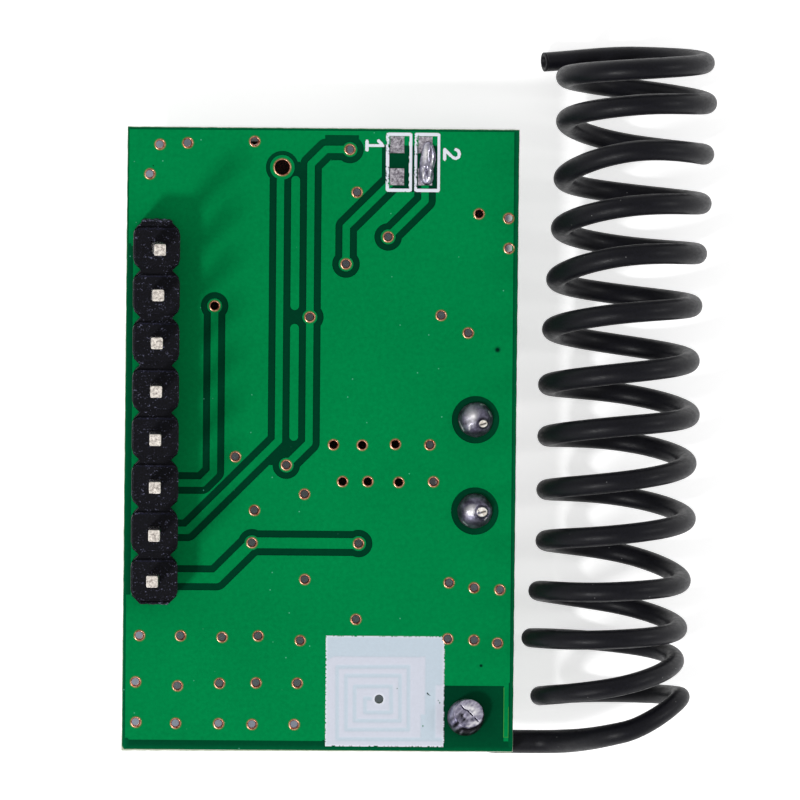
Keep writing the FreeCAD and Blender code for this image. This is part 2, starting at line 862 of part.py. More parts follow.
def crystal_lead(place):
    """A lead that leans outwards as it comes through the board."""
    foot = Vector(place[0], place[1], under)
    top = Vector(place[0] + crystal_lead_lean * (dome_height - under), place[1],
                 dome_height + lead_end_above_dome)
    way = top - foot
    lead = Part.makeCylinder(crystal_lead_diameter / 2.0, 2 * way.Length, foot - way * 0.5, way)
    return lead.common(disc(place, dome_clear_radius, under, dome_height))


def crystal_leads():
    return Part.makeCompound([crystal_lead(place) for place in crystal_places()])


def crystal_joint(place):
    """A solder dome on its pad, with the lead's end showing."""
    ball = (dome_radius ** 2 + dome_height ** 2) / (2.0 * dome_height)
    dome = Part.makeSphere(ball, Vector(place[0], place[1], dome_height - ball))
    dome = dome.common(disc(place, dome_clear_radius, 0, dome_height))
    return dome.cut(crystal_lead(place))


# Chips: a moulded body with drafted sides, and leads bent down to the board

def chip_body(length, width, height, dot):
    """A body along X about the origin, hanging from the board on its leads."""
    band = chip_lead_thickness * 1.5
    top = under - chip_standoff
    middle = top - height / 2.0

    def outline(inset, z):
        x = length / 2.0 - inset
        y = width / 2.0 - inset
        corners = [Vector(x, y, z), Vector(-x, y, z), Vector(-x, -y, z), Vector(x, -y, z)]
        return Part.makePolygon(corners + [corners[0]])

    upper = Part.makeLoft([outline(0, middle + band / 2.0), outline(chip_draft, top)], True, True)
    lower = Part.makeLoft([outline(0, middle - band / 2.0), outline(chip_draft, top - height)],
                          True, True)
    belt = slab(-length / 2.0, -width / 2.0, length / 2.0, width / 2.0,
                middle - band / 2.0, middle + band / 2.0)
    body = joined([belt, upper, lower])
    if dot:
        place = (-length / 2.0 + chip_draft + 2 * chip_dot_radius,
                 -width / 2.0 + chip_draft + 2 * chip_dot_radius)
        body = body.cut(disc(place, chip_dot_radius, top - height, top - height + chip_dot_depth))
    return body


def gull_lead(x, side, body_width, span, height, width, foot):
    """One lead, from the body's side down to its foot on the board."""
    middle = under - chip_standoff - height / 2.0
    half = chip_lead_thickness / 2.0
    inner = body_width / 2.0
    outer = span / 2.0
    knee = outer - foot
    profile = [
        (inner, middle + half), (knee - 2 * half, middle + half), (knee - half, under),
        (outer, under), (outer, under - 2 * half), (knee + half, under - 2 * half),
        (knee, middle - half), (inner, middle - half),
    ]
    corners = [Vector(x - width / 2.0, side * y, z) for y, z in profile]
    face = Part.Face(Part.makePolygon(corners + [corners[0]]))
    return face.extrude(Vector(width, 0, 0))


def eight_leads():
    first = -(chip_leads_per_side - 1) / 2.0 * chip_lead_pitch
    return Part.makeCompound([
        gull_lead(first + number * chip_lead_pitch, side, chip_width, chip_span, chip_height,
                  chip_lead_width, chip_lead_foot)
        for side in (1, -1) for number in range(chip_leads_per_side)])


def regulator_leads():
    sides = [(-regulator_lead_pitch, 1), (regulator_lead_pitch, 1), (0.0, -1)]
    return Part.makeCompound([
        gull_lead(x, side, regulator_width, regulator_span, regulator_height,
                  regulator_lead_width, regulator_lead_foot)
        for x, side in sides])


# Chip capacitor: rolled can on a square base with two feet

def capacitor_base():
    half = can_base_size / 2.0
    corner = half - can_base_corner
    outline = [(-half, -half), (half, -half), (half, corner), (corner, half),
               (-corner, half), (-half, corner)]
    top = under - can_foot_height
    base = prism(outline, top - can_base_height, top)
    base.translate(Vector(can_place[0], can_place[1], 0))
    return base


def capacitor_can():
    foot = under - can_foot_height - can_base_height
    can = Part.makeCylinder(can_diameter / 2.0, foot - rest_level,
                            Vector(can_place[0], can_place[1], rest_level))
    crown = [edge for edge in can.Edges if edge.BoundBox.ZMax < rest_level + can_edge_round]
    can = can.makeFillet(can_edge_round, crown)
    ring_middle = Vector(can_place[0], can_place[1], foot - can_groove_from_base)
    groove = Part.makeTorus(can_diameter / 2.0 + can_groove_width / 2.0 - can_groove_depth,
                            can_groove_width / 2.0, ring_middle)
    return can.cut(groove)


def capacitor_feet():
    reach = can_base_size / 2.0 + can_foot_overhang
    feet = []
    for side in (1, -1):
        outer = can_place[1] + side * reach
        inner = outer - side * can_foot_length
        feet.append(slab(can_place[0] - can_foot_width / 2.0, min(inner, outer),
                         can_place[0] + can_foot_width / 2.0, max(inner, outer),
                         under - can_foot_height, under))
    return Part.makeCompound(feet)


# Chip passives: a body between two tinned ends

def chip_middle(length, width, height, end):
    return slab(-length / 2.0 + end, -width / 2.0, length / 2.0 - end, width / 2.0,
                under - height, under)


def chip_ends(length, width, height, end):
    return Part.makeCompound([
        slab(-length / 2.0, -width / 2.0, -length / 2.0 + end, width / 2.0, under - height, under),
        slab(length / 2.0 - end, -width / 2.0, length / 2.0, width / 2.0, under - height, under)])


def beside(chip, steps):
    return [(chip[0] + x, chip[1] + y) for x, y in steps]


def placed(shape, along_x, along_y):
    copies = [turned(shape, place, 0) for place in along_x]
    copies += [turned(shape, place, 1) for place in along_y]
    solids = []
    for copy in copies:
        solids += copy.Solids
    return Part.makeCompound(solids)


os.makedirs("parts", exist_ok=True)

pour = ground_pour()
tracks = signal_tracks()
spiral = spiral_inductor()
save("circuit_board", circuit_board())
save("ground_pour", pour)
save("signal_tracks", tracks)
save("spiral_inductor", spiral)
save("legend_block", legend_block(pour, spiral))
save("jumper_frames", jumper_frames(pour, tracks))
save("jumper_pads", jumper_pads())
save("solder_bridge", solder_bridge())

save("header_housing", header_housing())
for number in range(1, pin_count + 1):
    save("header_pin_" + str(number), header_pin(number))
save("header_fillets", header_fillets())

save("antenna_coil", antenna_coil())
save("antenna_tail", antenna_tail())
save("antenna_joint", antenna_joint())

save("crystal_base", crystal_base())
save("crystal_can", crystal_can())
save("crystal_leads", crystal_leads())
save("crystal_joint_upper", crystal_joint(crystal_places()[0]))
save("crystal_joint_lower", crystal_joint(crystal_places()[1]))

chip = chip_body(chip_length, chip_width, chip_height, True)
leads = eight_leads()
save("receiver_chip_body", turned(chip, receiver_chip, 0))
save("receiver_chip_leads", placed(leads, [receiver_chip], []))
save("decoder_chip_body", turned(chip, decoder_chip, 1))
save("decoder_chip_leads", placed(leads, [], [decoder_chip]))
small_body = chip_body(regulator_length, regulator_width, regulator_height, False)
save("regulator_body", turned(small_body, regulator, 1))
save("regulator_leads", placed(regulator_leads(), [], [regulator]))

save("capacitor_base", capacitor_base())
save("capacitor_can", capacitor_can())
save("capacitor_feet", capacitor_feet())

part_size = (chip_part_length, chip_part_width, chip_part_height, chip_end_length)
inductor_size = (inductor_length, inductor_width, inductor_height, inductor_end_length)
wide_capacitors = beside(receiver_chip, receiver_capacitors)
tall_capacitors = beside(decoder_chip, decoder_capacitors)
wide_resistors = beside(decoder_chip, decoder_resistors) + beside(receiver_chip, [receiver_resistor])
high_resistors = beside(receiver_chip, tall_resistors)
save("chip_capacitors", placed(chip_middle(*part_size), wide_capacitors, tall_capacitors))
save("chip_capacitor_ends", placed(chip_ends(*part_size), wide_capacitors, tall_capacitors))
save("chip_resistors", placed(chip_middle(*part_size), wide_resistors, high_resistors))
save("chip_resistor_ends", placed(chip_ends(*part_size), wide_resistors, high_resistors))
save("chip_inductor", placed(chip_middle(*inductor_size), [], [inductor_place]))
save("chip_inductor_ends", placed(chip_ends(*inductor_size), [], [inductor_place]))
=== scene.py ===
import math

import bmesh
import bpy
import numpy as np
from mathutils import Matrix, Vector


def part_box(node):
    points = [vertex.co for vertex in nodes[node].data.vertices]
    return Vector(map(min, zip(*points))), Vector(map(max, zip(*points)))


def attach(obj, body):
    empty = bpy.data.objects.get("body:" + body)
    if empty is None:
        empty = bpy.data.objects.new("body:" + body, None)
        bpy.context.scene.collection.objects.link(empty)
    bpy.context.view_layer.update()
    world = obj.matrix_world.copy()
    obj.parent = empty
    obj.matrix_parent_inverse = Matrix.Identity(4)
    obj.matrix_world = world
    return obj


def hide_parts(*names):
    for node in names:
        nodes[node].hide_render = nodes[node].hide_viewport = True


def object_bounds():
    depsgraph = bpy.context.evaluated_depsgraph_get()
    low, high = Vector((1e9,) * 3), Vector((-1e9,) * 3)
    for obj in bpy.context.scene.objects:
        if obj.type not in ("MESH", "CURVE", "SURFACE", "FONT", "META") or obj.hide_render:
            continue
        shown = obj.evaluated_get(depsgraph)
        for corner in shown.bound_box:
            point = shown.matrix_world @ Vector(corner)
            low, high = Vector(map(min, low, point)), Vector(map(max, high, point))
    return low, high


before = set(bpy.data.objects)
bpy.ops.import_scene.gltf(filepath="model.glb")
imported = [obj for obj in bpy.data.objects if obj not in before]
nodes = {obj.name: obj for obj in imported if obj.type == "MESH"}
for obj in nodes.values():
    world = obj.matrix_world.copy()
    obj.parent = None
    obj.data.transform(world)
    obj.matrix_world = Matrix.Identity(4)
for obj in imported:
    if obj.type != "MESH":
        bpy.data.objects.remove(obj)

cad_box = [list(corner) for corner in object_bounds()]
mm = 0.001


# Board: a glass-fibre laminate, 1.2 mm thick, under a coat of green solder mask on both faces.
# The mask lies bright over copper and nearly black-green where the copper is etched away; the
# light that enters at the cut edges is painted in, as a glow that makes the bare rim of the board a little
# brighter.

board_low, board_high = [np.array(corner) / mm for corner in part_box("circuit_board")]
mask_over_copper = (0, 133, 69)
mask_over_laminate = (0, 52, 30)
mask_edge_glow = (0, 92, 52)
laminate_colour = (205, 208, 190)
laminate_streak = (150, 162, 130)


def paint(red, green, blue):
    """A colour read in everyday 0 to 255 steps, as the linear light that a shader takes."""
    steps = np.array([red, green, blue]) / 255.0
    linear = np.where(steps <= 0.04045, steps / 12.92, ((steps + 0.055) / 1.055) ** 2.4)
    return (*linear, 1.0)


def finish_of(name, colour, **values):
    """A shader for one finish. What is the same all over it is set on the shader's own sockets."""
    made = bpy.data.materials.new(name)
    made.use_nodes = True
    shader = made.node_tree.nodes["Principled BSDF"]
    shader.inputs["Base Color"].default_value = paint(*colour)
    for socket, value in values.items():
        shader.inputs[socket.replace("_", " ")].default_value = value
    return made


def step(made, kind, inputs, **settings):
    """Adds one texture or maths step; an input that is another step's output is wired to it."""
    added = made.node_tree.nodes.new("ShaderNode" + kind)
    for setting, value in settings.items():
        setattr(added, setting, value)
    for socket, value in inputs.items():
        if isinstance(value, bpy.types.NodeSocket):
            made.node_tree.links.new(value, added.inputs[socket])
        else:
            added.inputs[socket].default_value = value
    return added.outputs[0]


def wire_in(made, socket, value):
    shader = made.node_tree.nodes["Principled BSDF"]
    made.node_tree.links.new(value, shader.inputs[socket])


def place_of(made):
    """Object coordinates, counted in millimetres."""
    texture = made.node_tree.nodes.new("ShaderNodeTexCoord")
    return step(made, "VectorMath", {0: texture.outputs["Object"], 3: 1 / mm}, operation="SCALE")


def stretched(made, place, x, y, z):
    return step(made, "VectorMath", {0: place, 1: (x, y, z)}, operation="MULTIPLY")


def grain(made, place, size, detail=2.0, roughness=0.5):
    """Soft noise from 0 to 1 whose lumps are about size millimetres wide."""
    return step(made, "TexNoise", {"Vector": place, "Scale": 1.0 / size, "Detail": detail,
                                   "Roughness": roughness})


def between(made, value, low, high, start=0.0, end=1.0):
    """Carries the range low to high onto start to end and holds it there."""
    return step(made, "MapRange", {"Value": value, "From Min": low, "From Max": high,
                                   "To Min": start, "To Max": end})


def blended(made, share, first, second):
    """Mixes two colours, each a paint or another step, by a share from 0 to 1."""
    mixer = made.node_tree.nodes.new("ShaderNodeMix")
    mixer.data_type = "RGBA"
    for socket, value in ((0, share), (6, first), (7, second)):
        if isinstance(value, bpy.types.NodeSocket):
            made.node_tree.links.new(value, mixer.inputs[socket])
        elif socket:
            mixer.inputs[socket].default_value = paint(*value)
        else:
            mixer.inputs[socket].default_value = value
    return mixer.outputs[2]


def sums(made, operation, first, second=0.0):
    return step(made, "Math", {0: first, 1: second}, operation=operation)


def bumped(made, height, strength, distance):
    """Lets a height pattern, distance millimetres deep, tilt the surface."""
    wire_in(made, "Normal", step(made, "Bump", {"Height": height, "Strength": strength,
                                                "Distance": distance * mm}))


def part_of_place(made, place, axis):
    split = made.node_tree.nodes.new("ShaderNodeSeparateXYZ")
    made.node_tree.links.new(place, split.inputs[0])
    return split.outputs[axis]


def specks(made, place, spacing, size):
    """1 inside rare round specks, 0 elsewhere: a cell pattern whose nearest points are close."""
    cells = step(made, "TexVoronoi", {"Vector": place, "Scale": 1.0 / spacing})
    return between(made, cells, size / spacing, size / spacing * 0.5)


def mask_finish(name, colour, edge_glow_share):
    """Solder mask: fine mottling, pale dust and a faint orange-peel in the gloss."""
    made = finish_of(name, colour, Roughness=0.42, Specular_IOR_Level=0.22,
                     Specular_Tint=paint(60, 255, 190))
    place = place_of(made)
    lit = colour
    # Painted light: near the board's sides the colour goes towards a glow that stands in for light entering
    # at the cut edges.
    if edge_glow_share:
        x = part_of_place(made, place, "X")
        y = part_of_place(made, place, "Y")
        sides = [sums(made, "SUBTRACT", x, board_low[0]), sums(made, "SUBTRACT", board_high[0], x),
                 sums(made, "SUBTRACT", y, board_low[1]), sums(made, "SUBTRACT", board_high[1], y)]
        nearest = sums(made, "MINIMUM", sums(made, "MINIMUM", sides[0], sides[1]),
                       sums(made, "MINIMUM", sides[2], sides[3]))
        rim = sums(made, "MAXIMUM", between(made, nearest, 0.42, 0.0, 0.0, edge_glow_share),
                   between(made, nearest, 2.4, 0.3, 0.0, 0.35 * edge_glow_share))
        lit = blended(made, rim, colour, mask_edge_glow)
    mottle = between(made, grain(made, place, 0.22, 3.0, 0.7), 0.3, 0.7, 0.9, 1.1)
    cloud = between(made, grain(made, place, 7.0), 0.35, 0.65, 0.96, 1.04)
    level = sums(made, "MULTIPLY", mottle, cloud)
    if not edge_glow_share:
        lit = paint(*colour)[:3]
    scaled = step(made, "VectorMath", {0: lit, 3: level}, operation="SCALE")
    dusty = blended(made, sums(made, "MULTIPLY", specks(made, place, 0.9, 0.045), 0.5), scaled,
                    (120, 215, 190))
    wire_in(made, "Base Color", dusty)
    bumped(made, grain(made, place, 0.12, 1.0), 0.25, 0.01)
    return made


def board_finish():
    """Mask on the two faces, and between them the cut glass fibre with its plies."""
    made = mask_finish("solder mask on laminate", mask_over_laminate, 1.0)
    tree = made.node_tree
    shader = tree.nodes["Principled BSDF"]
    masked = shader.inputs["Base Color"].links[0].from_socket
    place = place_of(made)
    z = part_of_place(made, place, "Z")
    plies = grain(made, stretched(made, place, 0.6, 0.6, 14.0), 1.0, 4.0, 0.7)
    cut = blended(made, between(made, plies, 0.4, 0.62), laminate_colour, laminate_streak)
    middle = (board_low[2] + board_high[2]) / 2
    depth = sums(made, "ABSOLUTE", sums(made, "SUBTRACT", z, middle))
    coat = between(made, depth, (board_high[2] - board_low[2]) / 2 - 0.03,
                   (board_high[2] - board_low[2]) / 2 - 0.02)
    wire_in(made, "Base Color", blended(made, coat, cut, masked))
    return made


def dress(finish, *names):
    for name in names:
        nodes[name].data.materials.clear()
        nodes[name].data.materials.append(finish)


def add_piece(name, points, faces, finish, smooth=True, values=None):
    """Makes a piece from points in millimetres and faces; values are kept for each point."""
    mesh = bpy.data.meshes.new(name)
    mesh.from_pydata((points * mm).tolist(), [], faces if isinstance(faces, list) else faces.tolist())
    mesh.materials.append(finish)
    mesh.polygons.foreach_set("use_smooth", np.full(len(mesh.polygons), smooth))
    for key, numbers in (values or {}).items():
        mesh.attributes.new(key, "FLOAT", "POINT").data.foreach_set(
            "value", np.ascontiguousarray(numbers, np.float32).ravel())
    piece = bpy.data.objects.new(name, mesh)
    bpy.context.scene.collection.objects.link(piece)
    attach(piece, "root")
    return piece


def grid_faces(rows, columns, closed_rows, closed_columns, start=0):
    """Four-sided faces between neighbouring points of a grid that may close on itself."""
    index = np.arange(rows * columns).reshape(rows, columns) + start
    if closed_rows:
        index = np.vstack([index, index[:1]])
    if closed_columns:
        index = np.hstack([index, index[:, :1]])
    corners = [index[:-1, :-1], index[:-1, 1:], index[1:, 1:], index[1:, :-1]]
    return np.stack(corners, -1).reshape(-1, 4)


def wobble(place, seed):
    """A slow random wave from -1 to 1: a sum of sines of mixed pitch."""
    pitch = np.array([2.3, 5.1, 9.7, 17.0])
    shift = np.random.default_rng(seed).uniform(0, 6.3, 4)
    return np.sin(place[..., None] * pitch + shift).sum(-1) / 4


laminate = board_finish()
dress(laminate, "circuit_board")
dress(mask_finish("solder mask on copper", mask_over_copper, 0.0), "ground_pour", "signal_tracks",
      "spiral_inductor")


# Routed edge: the board was milled out a little askew, so a rim up to 0.2 mm wide follows its
# sides and leans out to the lower left. Narrow margins carry the pour out over it, the strip in
# the bare corner has thin pale edges, and a sliver is torn from under the lower right corner.

rim_growth = [(0.09, 0.17), (0.12, 0.02), (0.08, 0.06), (0.03, 0.1)]
rim_inside = 0.05
rim_drops = (0.004, 0.004, -0.012, -0.06)
rim_shares = (0.0, 0.62, 0.85, 1.0)
lower_rim_drops = (0.004, 0.0, -0.06, -0.2)
lower_rim_shares = (0.0, 0.3, 0.6, 1.0)
film_base = 0.002
margin_reach = 0.14
margin_lap = 0.16
lower_left_margin_top = -9.82
upper_left_margin_foot = 9.02
right_margin_foot = -14.4
bottom_margin_end = 9.1
thin_mask_colour = (62, 146, 62)
strip_edges = [(18.80, -17.35, 18.84, -14.66), (19.05, -17.35, 19.085, -15.7),
               (18.87, -17.35, 19.05, -17.31)]
torn_corner = (18.5, -18.17, 19.26, -17.9)
torn_levels = (-0.92, -0.5)


def rim_points():
    """A loop of four straight sides whose growth runs evenly from end to end, plus a wobble,
    carried through a closed section: out over the top, down the side and back under it."""
    corners = np.array([(board_low[0], board_high[1]), (board_low[0], board_low[1]),
                        (board_high[0], board_low[1]), (board_high[0], board_high[1])])
    left, right, top, bottom = rim_growth
    grown = corners + np.array([(-left[0], top[0]), (-left[1], -bottom[1]),
                                (right[1], -bottom[0]), (right[0], top[1])])
    share = np.linspace(0, 1, 121)[:-1, None]
    outer = np.vstack([grown[side] + share * (grown[(side + 1) % 4] - grown[side]) for side in range(4)])
    middle = (board_low[:2] + board_high[:2]) / 2
    reach = (board_high[:2] - board_low[:2]) / 2 - rim_inside
    inner = middle + np.clip(outer - middle, -reach, reach)
    ripple = 0.012 * wobble(outer[:, 0] * 1.7 + outer[:, 1], 5)[:, None] * np.sign(outer - inner)
    outer = outer + ripple * (np.abs(outer - inner) > 0.03)
    lower = np.clip((board_low[1] + 0.02 - outer[:, 1:]) / 0.05, 0, 1)
    shares = (1 - lower) * rim_shares + lower * lower_rim_shares
    drops = (1 - lower) * rim_drops + lower * lower_rim_drops
    deep = board_low[2] - board_high[2]
    shares = np.hstack([shares, np.tile(rim_shares, (len(outer), 1))[:, ::-1]])
    drops = np.hstack([drops, deep - np.tile(rim_drops, (len(outer), 1))[:, ::-1]])
    flat = inner[:, None] + shares[..., None] * (outer - inner)[:, None]
    return np.concatenate([flat, drops[..., None]], -1)


def slabs(boxes, base, top):
    """Closed upright blocks: each box's four corners at the base height and at the top height."""
    low_x, low_y, high_x, high_y = np.array(boxes).T
    x = np.stack([low_x, high_x, high_x, low_x] * 2, -1)
    y = np.stack([low_y, low_y, high_y, high_y] * 2, -1)
    z = np.broadcast_to([base] * 4 + [top] * 4, x.shape)
    block = np.array([(3, 2, 1, 0), (4, 5, 6, 7), (0, 1, 5, 4), (1, 2, 6, 5), (2, 3, 7, 6), (3, 0, 4, 7)])
    faces = block[None] + (np.arange(len(boxes)) * 8)[:, None, None]
    return np.stack([x, y, z], -1).reshape(-1, 3), faces.reshape(-1, 4)


rim = rim_points()
add_piece("routed_edge", rim.reshape(-1, 3), grid_faces(*rim.shape[:2], True, True)[:, ::-1],
          laminate, False)
pour_low, pour_high = [np.array(corner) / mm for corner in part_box("ground_pour")]
pour_edges = [(pour_low[0] - margin_reach, pour_low[1] + 0.05, pour_low[0] + margin_lap,
               lower_left_margin_top),
              (pour_low[0] - margin_reach, upper_left_margin_foot, pour_low[0] + margin_lap,
               pour_high[1]),
              (pour_high[0] - 0.02, right_margin_foot, pour_high[0] + 0.06, pour_high[1]),
              (pour_low[0] + 0.05, pour_low[1] - 0.05, bottom_margin_end, pour_low[1] + 0.02)]
points, faces = slabs(pour_edges, film_base, pour_high[2] + 0.001)
add_piece("pour_margins", points, faces, nodes["ground_pour"].data.materials[0],
          False)
points, faces = slabs(strip_edges, film_base, pour_high[2] + 0.003)
add_piece("thin_mask_lines", points, faces, mask_finish("thin mask", thin_mask_colour, 0.0),
          False)
points, faces = slabs([torn_corner], *torn_levels)
add_piece("torn_laminate", points, faces, laminate, False)


# Vias and plated holes: copper barrels, grown on the wall of each drilled hole, with a bright
# ring on either face where the mask stops short. The round edge of the mask looks brown there.

ring_reach = 0.042
ring_height = 0.06
mask_lap = 0.05
barrel_wall = 0.045
barrel_drift = 0.0022
copper_colour = (250, 190, 160)
copper_tarnish = (150, 66, 40)
lap_colour = (74, 124, 46)
top_height = 0.045


def drilled_holes():
    """Middle and radius of every hole in the board, read off its mesh: the points of its upper
    face fall into one ring for each hole, and points closer than a step belong together."""
    board = nodes["circuit_board"].data
    points = np.empty(len(board.vertices) * 3, np.float32)
    board.vertices.foreach_get("co", points)
    points = points.reshape(-1, 3) / mm
    flat = np.unique(points[np.abs(points[:, 2]) < 1e-3][:, :2].round(4), axis=0)
    apart = np.hypot(*(flat[:, None] - flat[None]).transpose(2, 0, 1))
    group = np.arange(len(flat))
    for sweep in range(len(flat)):
        joined = np.where(apart < 0.2, group[None], len(flat)).min(axis=1)
        if (joined == group).all():
            break
        group = joined
    holes = []
    for number in np.unique(group):
        ring = flat[group == number]
        if len(ring) > 6:
            low, high = ring.min(axis=0), ring.max(axis=0)
            holes.append((*(low + high) / 2, (high - low).max() / 2))
    return np.array(holes)


def attribute(made, key):
    added = made.node_tree.nodes.new("ShaderNodeAttribute")
    added.attribute_name = key
    return added.outputs["Fac"]


def plated_finish():
    made = finish_of("plated copper", copper_colour, Metallic=1.0, Roughness=0.32)
    place = place_of(made)
    tarnish = between(made, grain(made, place, 0.12, 3.0), 0.35, 0.7)
    lap = attribute(made, "lap")
    ring = blended(made, tarnish, copper_colour, copper_tarnish)
    wire_in(made, "Base Color", blended(made, lap, ring, lap_colour))
    wire_in(made, "Metallic", between(made, lap, 0.0, 1.0, 1.0, 0.0))
    return made


def barrels(places, steps):
    """Rings and barrels as one closed profile turned about each hole: x = hole x + r cos t,
    y = hole y + r sin t, where r is the hole's radius plus the profile's reach. Below the rim the
    barrel drifts away from the board's middle, as the holes in the photograph do."""
    deep = board_low[2]
    upper = np.array([
        (0.001, -0.002), (ring_reach + mask_lap, -0.002), (ring_reach + mask_lap, top_height * 0.9),
        (ring_reach + 0.01, top_height), (ring_reach, ring_height * 0.8),
        (ring_reach * 0.6, ring_height), (0.004, ring_height * 0.95),
        (-barrel_wall * 0.35, ring_height * 0.5), (-barrel_wall * 0.75, -0.06), (-barrel_wall, -0.3)])
    lower = upper[::-1] * (1, -1) + (0, deep)
    profile = np.vstack([upper, lower])
    shade = np.array([1, 1, 1, 1, 0, 0, 0, 0, 0, 0])
    shade = np.concatenate([shade, shade[::-1]])
    turn = np.linspace(0, 2 * np.pi, steps, endpoint=False)
    radius = places[:, 2, None, None] + profile[None, :, 0, None]
    drift = (barrel_drift * (places[:, 0, None, None] - (board_low[0] + board_high[0]) / 2)
             * np.clip(-profile[:, 0] / barrel_wall, 0, 1)[:, None])
    x = places[:, 0, None, None] + drift + radius * np.cos(turn)
    y = places[:, 1, None, None] + radius * np.sin(turn)
    z = np.broadcast_to(profile[None, :, 1, None], x.shape)
    points = np.stack([x, y, z], -1).reshape(-1, 3)
    size = len(profile) * steps
    one = grid_faces(len(profile), steps, True, True)[:, ::-1]
    faces = (one[None] + (np.arange(len(places)) * size)[:, None, None]).reshape(-1, 4)
    return points, faces, {"lap": np.tile(np.repeat(shade, steps), len(places))}


ink_low, ink_high = [np.array(corner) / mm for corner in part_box("legend_block")]
holes = drilled_holes()
under_ink = ((holes[:, :2] > ink_low[:2]) & (holes[:, :2] < ink_high[:2] - 0.3)).all(axis=1)
plated = (holes[:, 2] < 0.45) & ~under_ink
points, faces, values = barrels(holes[plated], 28)
add_piece("plated_holes", points, faces, plated_finish(), True, values)


# White ink: a screen-printed block that hides the printed coil, laid so thin that the copper
# turns under it still show as faint raised bands; its edges are ragged from the screen's mesh.

ink_step = 0.045
ink_growth = (-0.045, 0.03, 0.02, 0.02)
ink_over_copper = 0.072
ink_over_mask = 0.05
coil_gap_line = 0.2
coil_gap_turns = [(15.9, -17.47), (9.89, -17.49), (9.86, -13.62), (13.69, -13.58), (13.71, -16.96),
                  (10.36, -16.98), (10.34, -14.08), (13.24, -14.06), (13.26, -16.49), (10.82, -16.5),
                  (10.81, -14.66), (12.77, -14.64), (12.79, -16.04), (11.38, -16.05), (11.37, -15.3),
                  (11.64, -15.3)]
copper_under_ink = [(8.0, -18.2, 14.36, -13.06), (14.3, -16.14, 14.59, -13.04),
                    (15.16, -17.6, 16.2, -14.56), (8.0, -18.2, 16.2, -17.56)]
copper_corner = [(9.0, -13.44), (9.86, -12.96)]
scratches = [[(13.2, -14.62), (13.1, -14.79)], [(14.43, -14.83), (15.55, -15.54)]]
nicks = [(14.49, -16.76, 0.035), (15.38, -15.5, 0.04)]
block_hole = (12.12, -15.33, 0.24)
teeth_depth = 0.045
via_at_block_corner = (15.78, -12.07)
ink_on_copper = (217, 221, 234)
ink_on_mask = (203, 217, 229)
ink_at_edge = (236, 240, 250)


def to_line(x, y, points):
    """Distance from every place to a bent line: the least over its straight runs of the distance
    to the nearest point of that run."""
    points = np.array(points)
    start, run = points[:-1], np.diff(points, axis=0)
    from_start = np.stack([x, y], -1)[..., None, :] - start
    share = np.clip((from_start * run).sum(-1) / (run ** 2).sum(-1), 0, 1)
    return np.linalg.norm(from_start - share[..., None] * run, axis=-1).min(-1)


def from_box(x, y, box):
    """Signed distance to an upright box: negative inside it."""
    gap_x = np.maximum(box[0] - x, x - box[2])
    gap_y = np.maximum(box[1] - y, y - box[3])
    outside = np.hypot(np.maximum(gap_x, 0), np.maximum(gap_y, 0))
    return outside + np.minimum(np.maximum(gap_x, gap_y), 0)


def grid_over(box, spacing):
    """x and y of a square grid over a box, and of the middles of its cells."""
    x, y = np.meshgrid(np.arange(box[0], box[2] + spacing / 2, spacing),
                       np.arange(box[1], box[3] + spacing / 2, spacing))
    return x, y, x[:-1, :-1] + spacing / 2, y[:-1, :-1] + spacing / 2


def round_hole(x, y, hole, spacing):
    """Draws the grid points beside a hole's rim onto the rim."""
    dx, dy = x - hole[0], y - hole[1]
    away = np.maximum(np.hypot(dx, dy), 1e-6)
    pull = np.where(np.abs(away - hole[2]) < spacing * 0.72, hole[2] / away, 1.0)
    return hole[0] + dx * pull, hole[1] + dy * pull


def sheet(x, y, top, base, keep):
    """A closed film over the kept cells of a grid: its upper side at top, its under side at base
    and a wall wherever a kept cell has no kept neighbour. Also says which points it uses."""
    index = np.arange(x.size).reshape(x.shape)
    corners = [index[:-1, :-1], index[:-1, 1:], index[1:, 1:], index[1:, :-1]]
    upper = np.stack(corners, -1)[keep]
    framed = np.pad(keep, 1)
    bare = [~framed[:-2, 1:-1], ~framed[1:-1, 2:], ~framed[2:, 1:-1], ~framed[1:-1, :-2]]
    walls = [np.stack([corners[side - 3], corners[side], corners[side] + x.size,
                       corners[side - 3] + x.size], -1)[keep & bare[side]] for side in range(4)]
    faces = np.vstack([upper, upper[:, ::-1] + x.size, *walls])
    used, faces = np.unique(faces, return_inverse=True)
    top, base = np.broadcast_to(top, x.shape), np.broadcast_to(base, x.shape)
    points = np.vstack([np.stack([x, y, top], -1).reshape(-1, 3),
                        np.stack([x, y, base], -1).reshape(-1, 3)])[used]
    return points, faces.reshape(-1, 4), used % x.size


def ink_finish():
    made = finish_of("white ink", ink_on_copper, Roughness=0.75, Specular_IOR_Level=0.25)
    place = place_of(made)
    tone = blended(made, attribute(made, "over_copper"), ink_on_mask, ink_on_copper)
    tone = blended(made, attribute(made, "ink_rim"), tone, ink_at_edge)
    level = between(made, grain(made, place, 0.16, 3.0, 0.7), 0.3, 0.7, 0.975, 1.025)
    wire_in(made, "Base Color", step(made, "VectorMath", {0: tone, 3: level}, operation="SCALE"))
    bumped(made, grain(made, place, 0.1, 2.0), 0.2, 0.012)
    return made


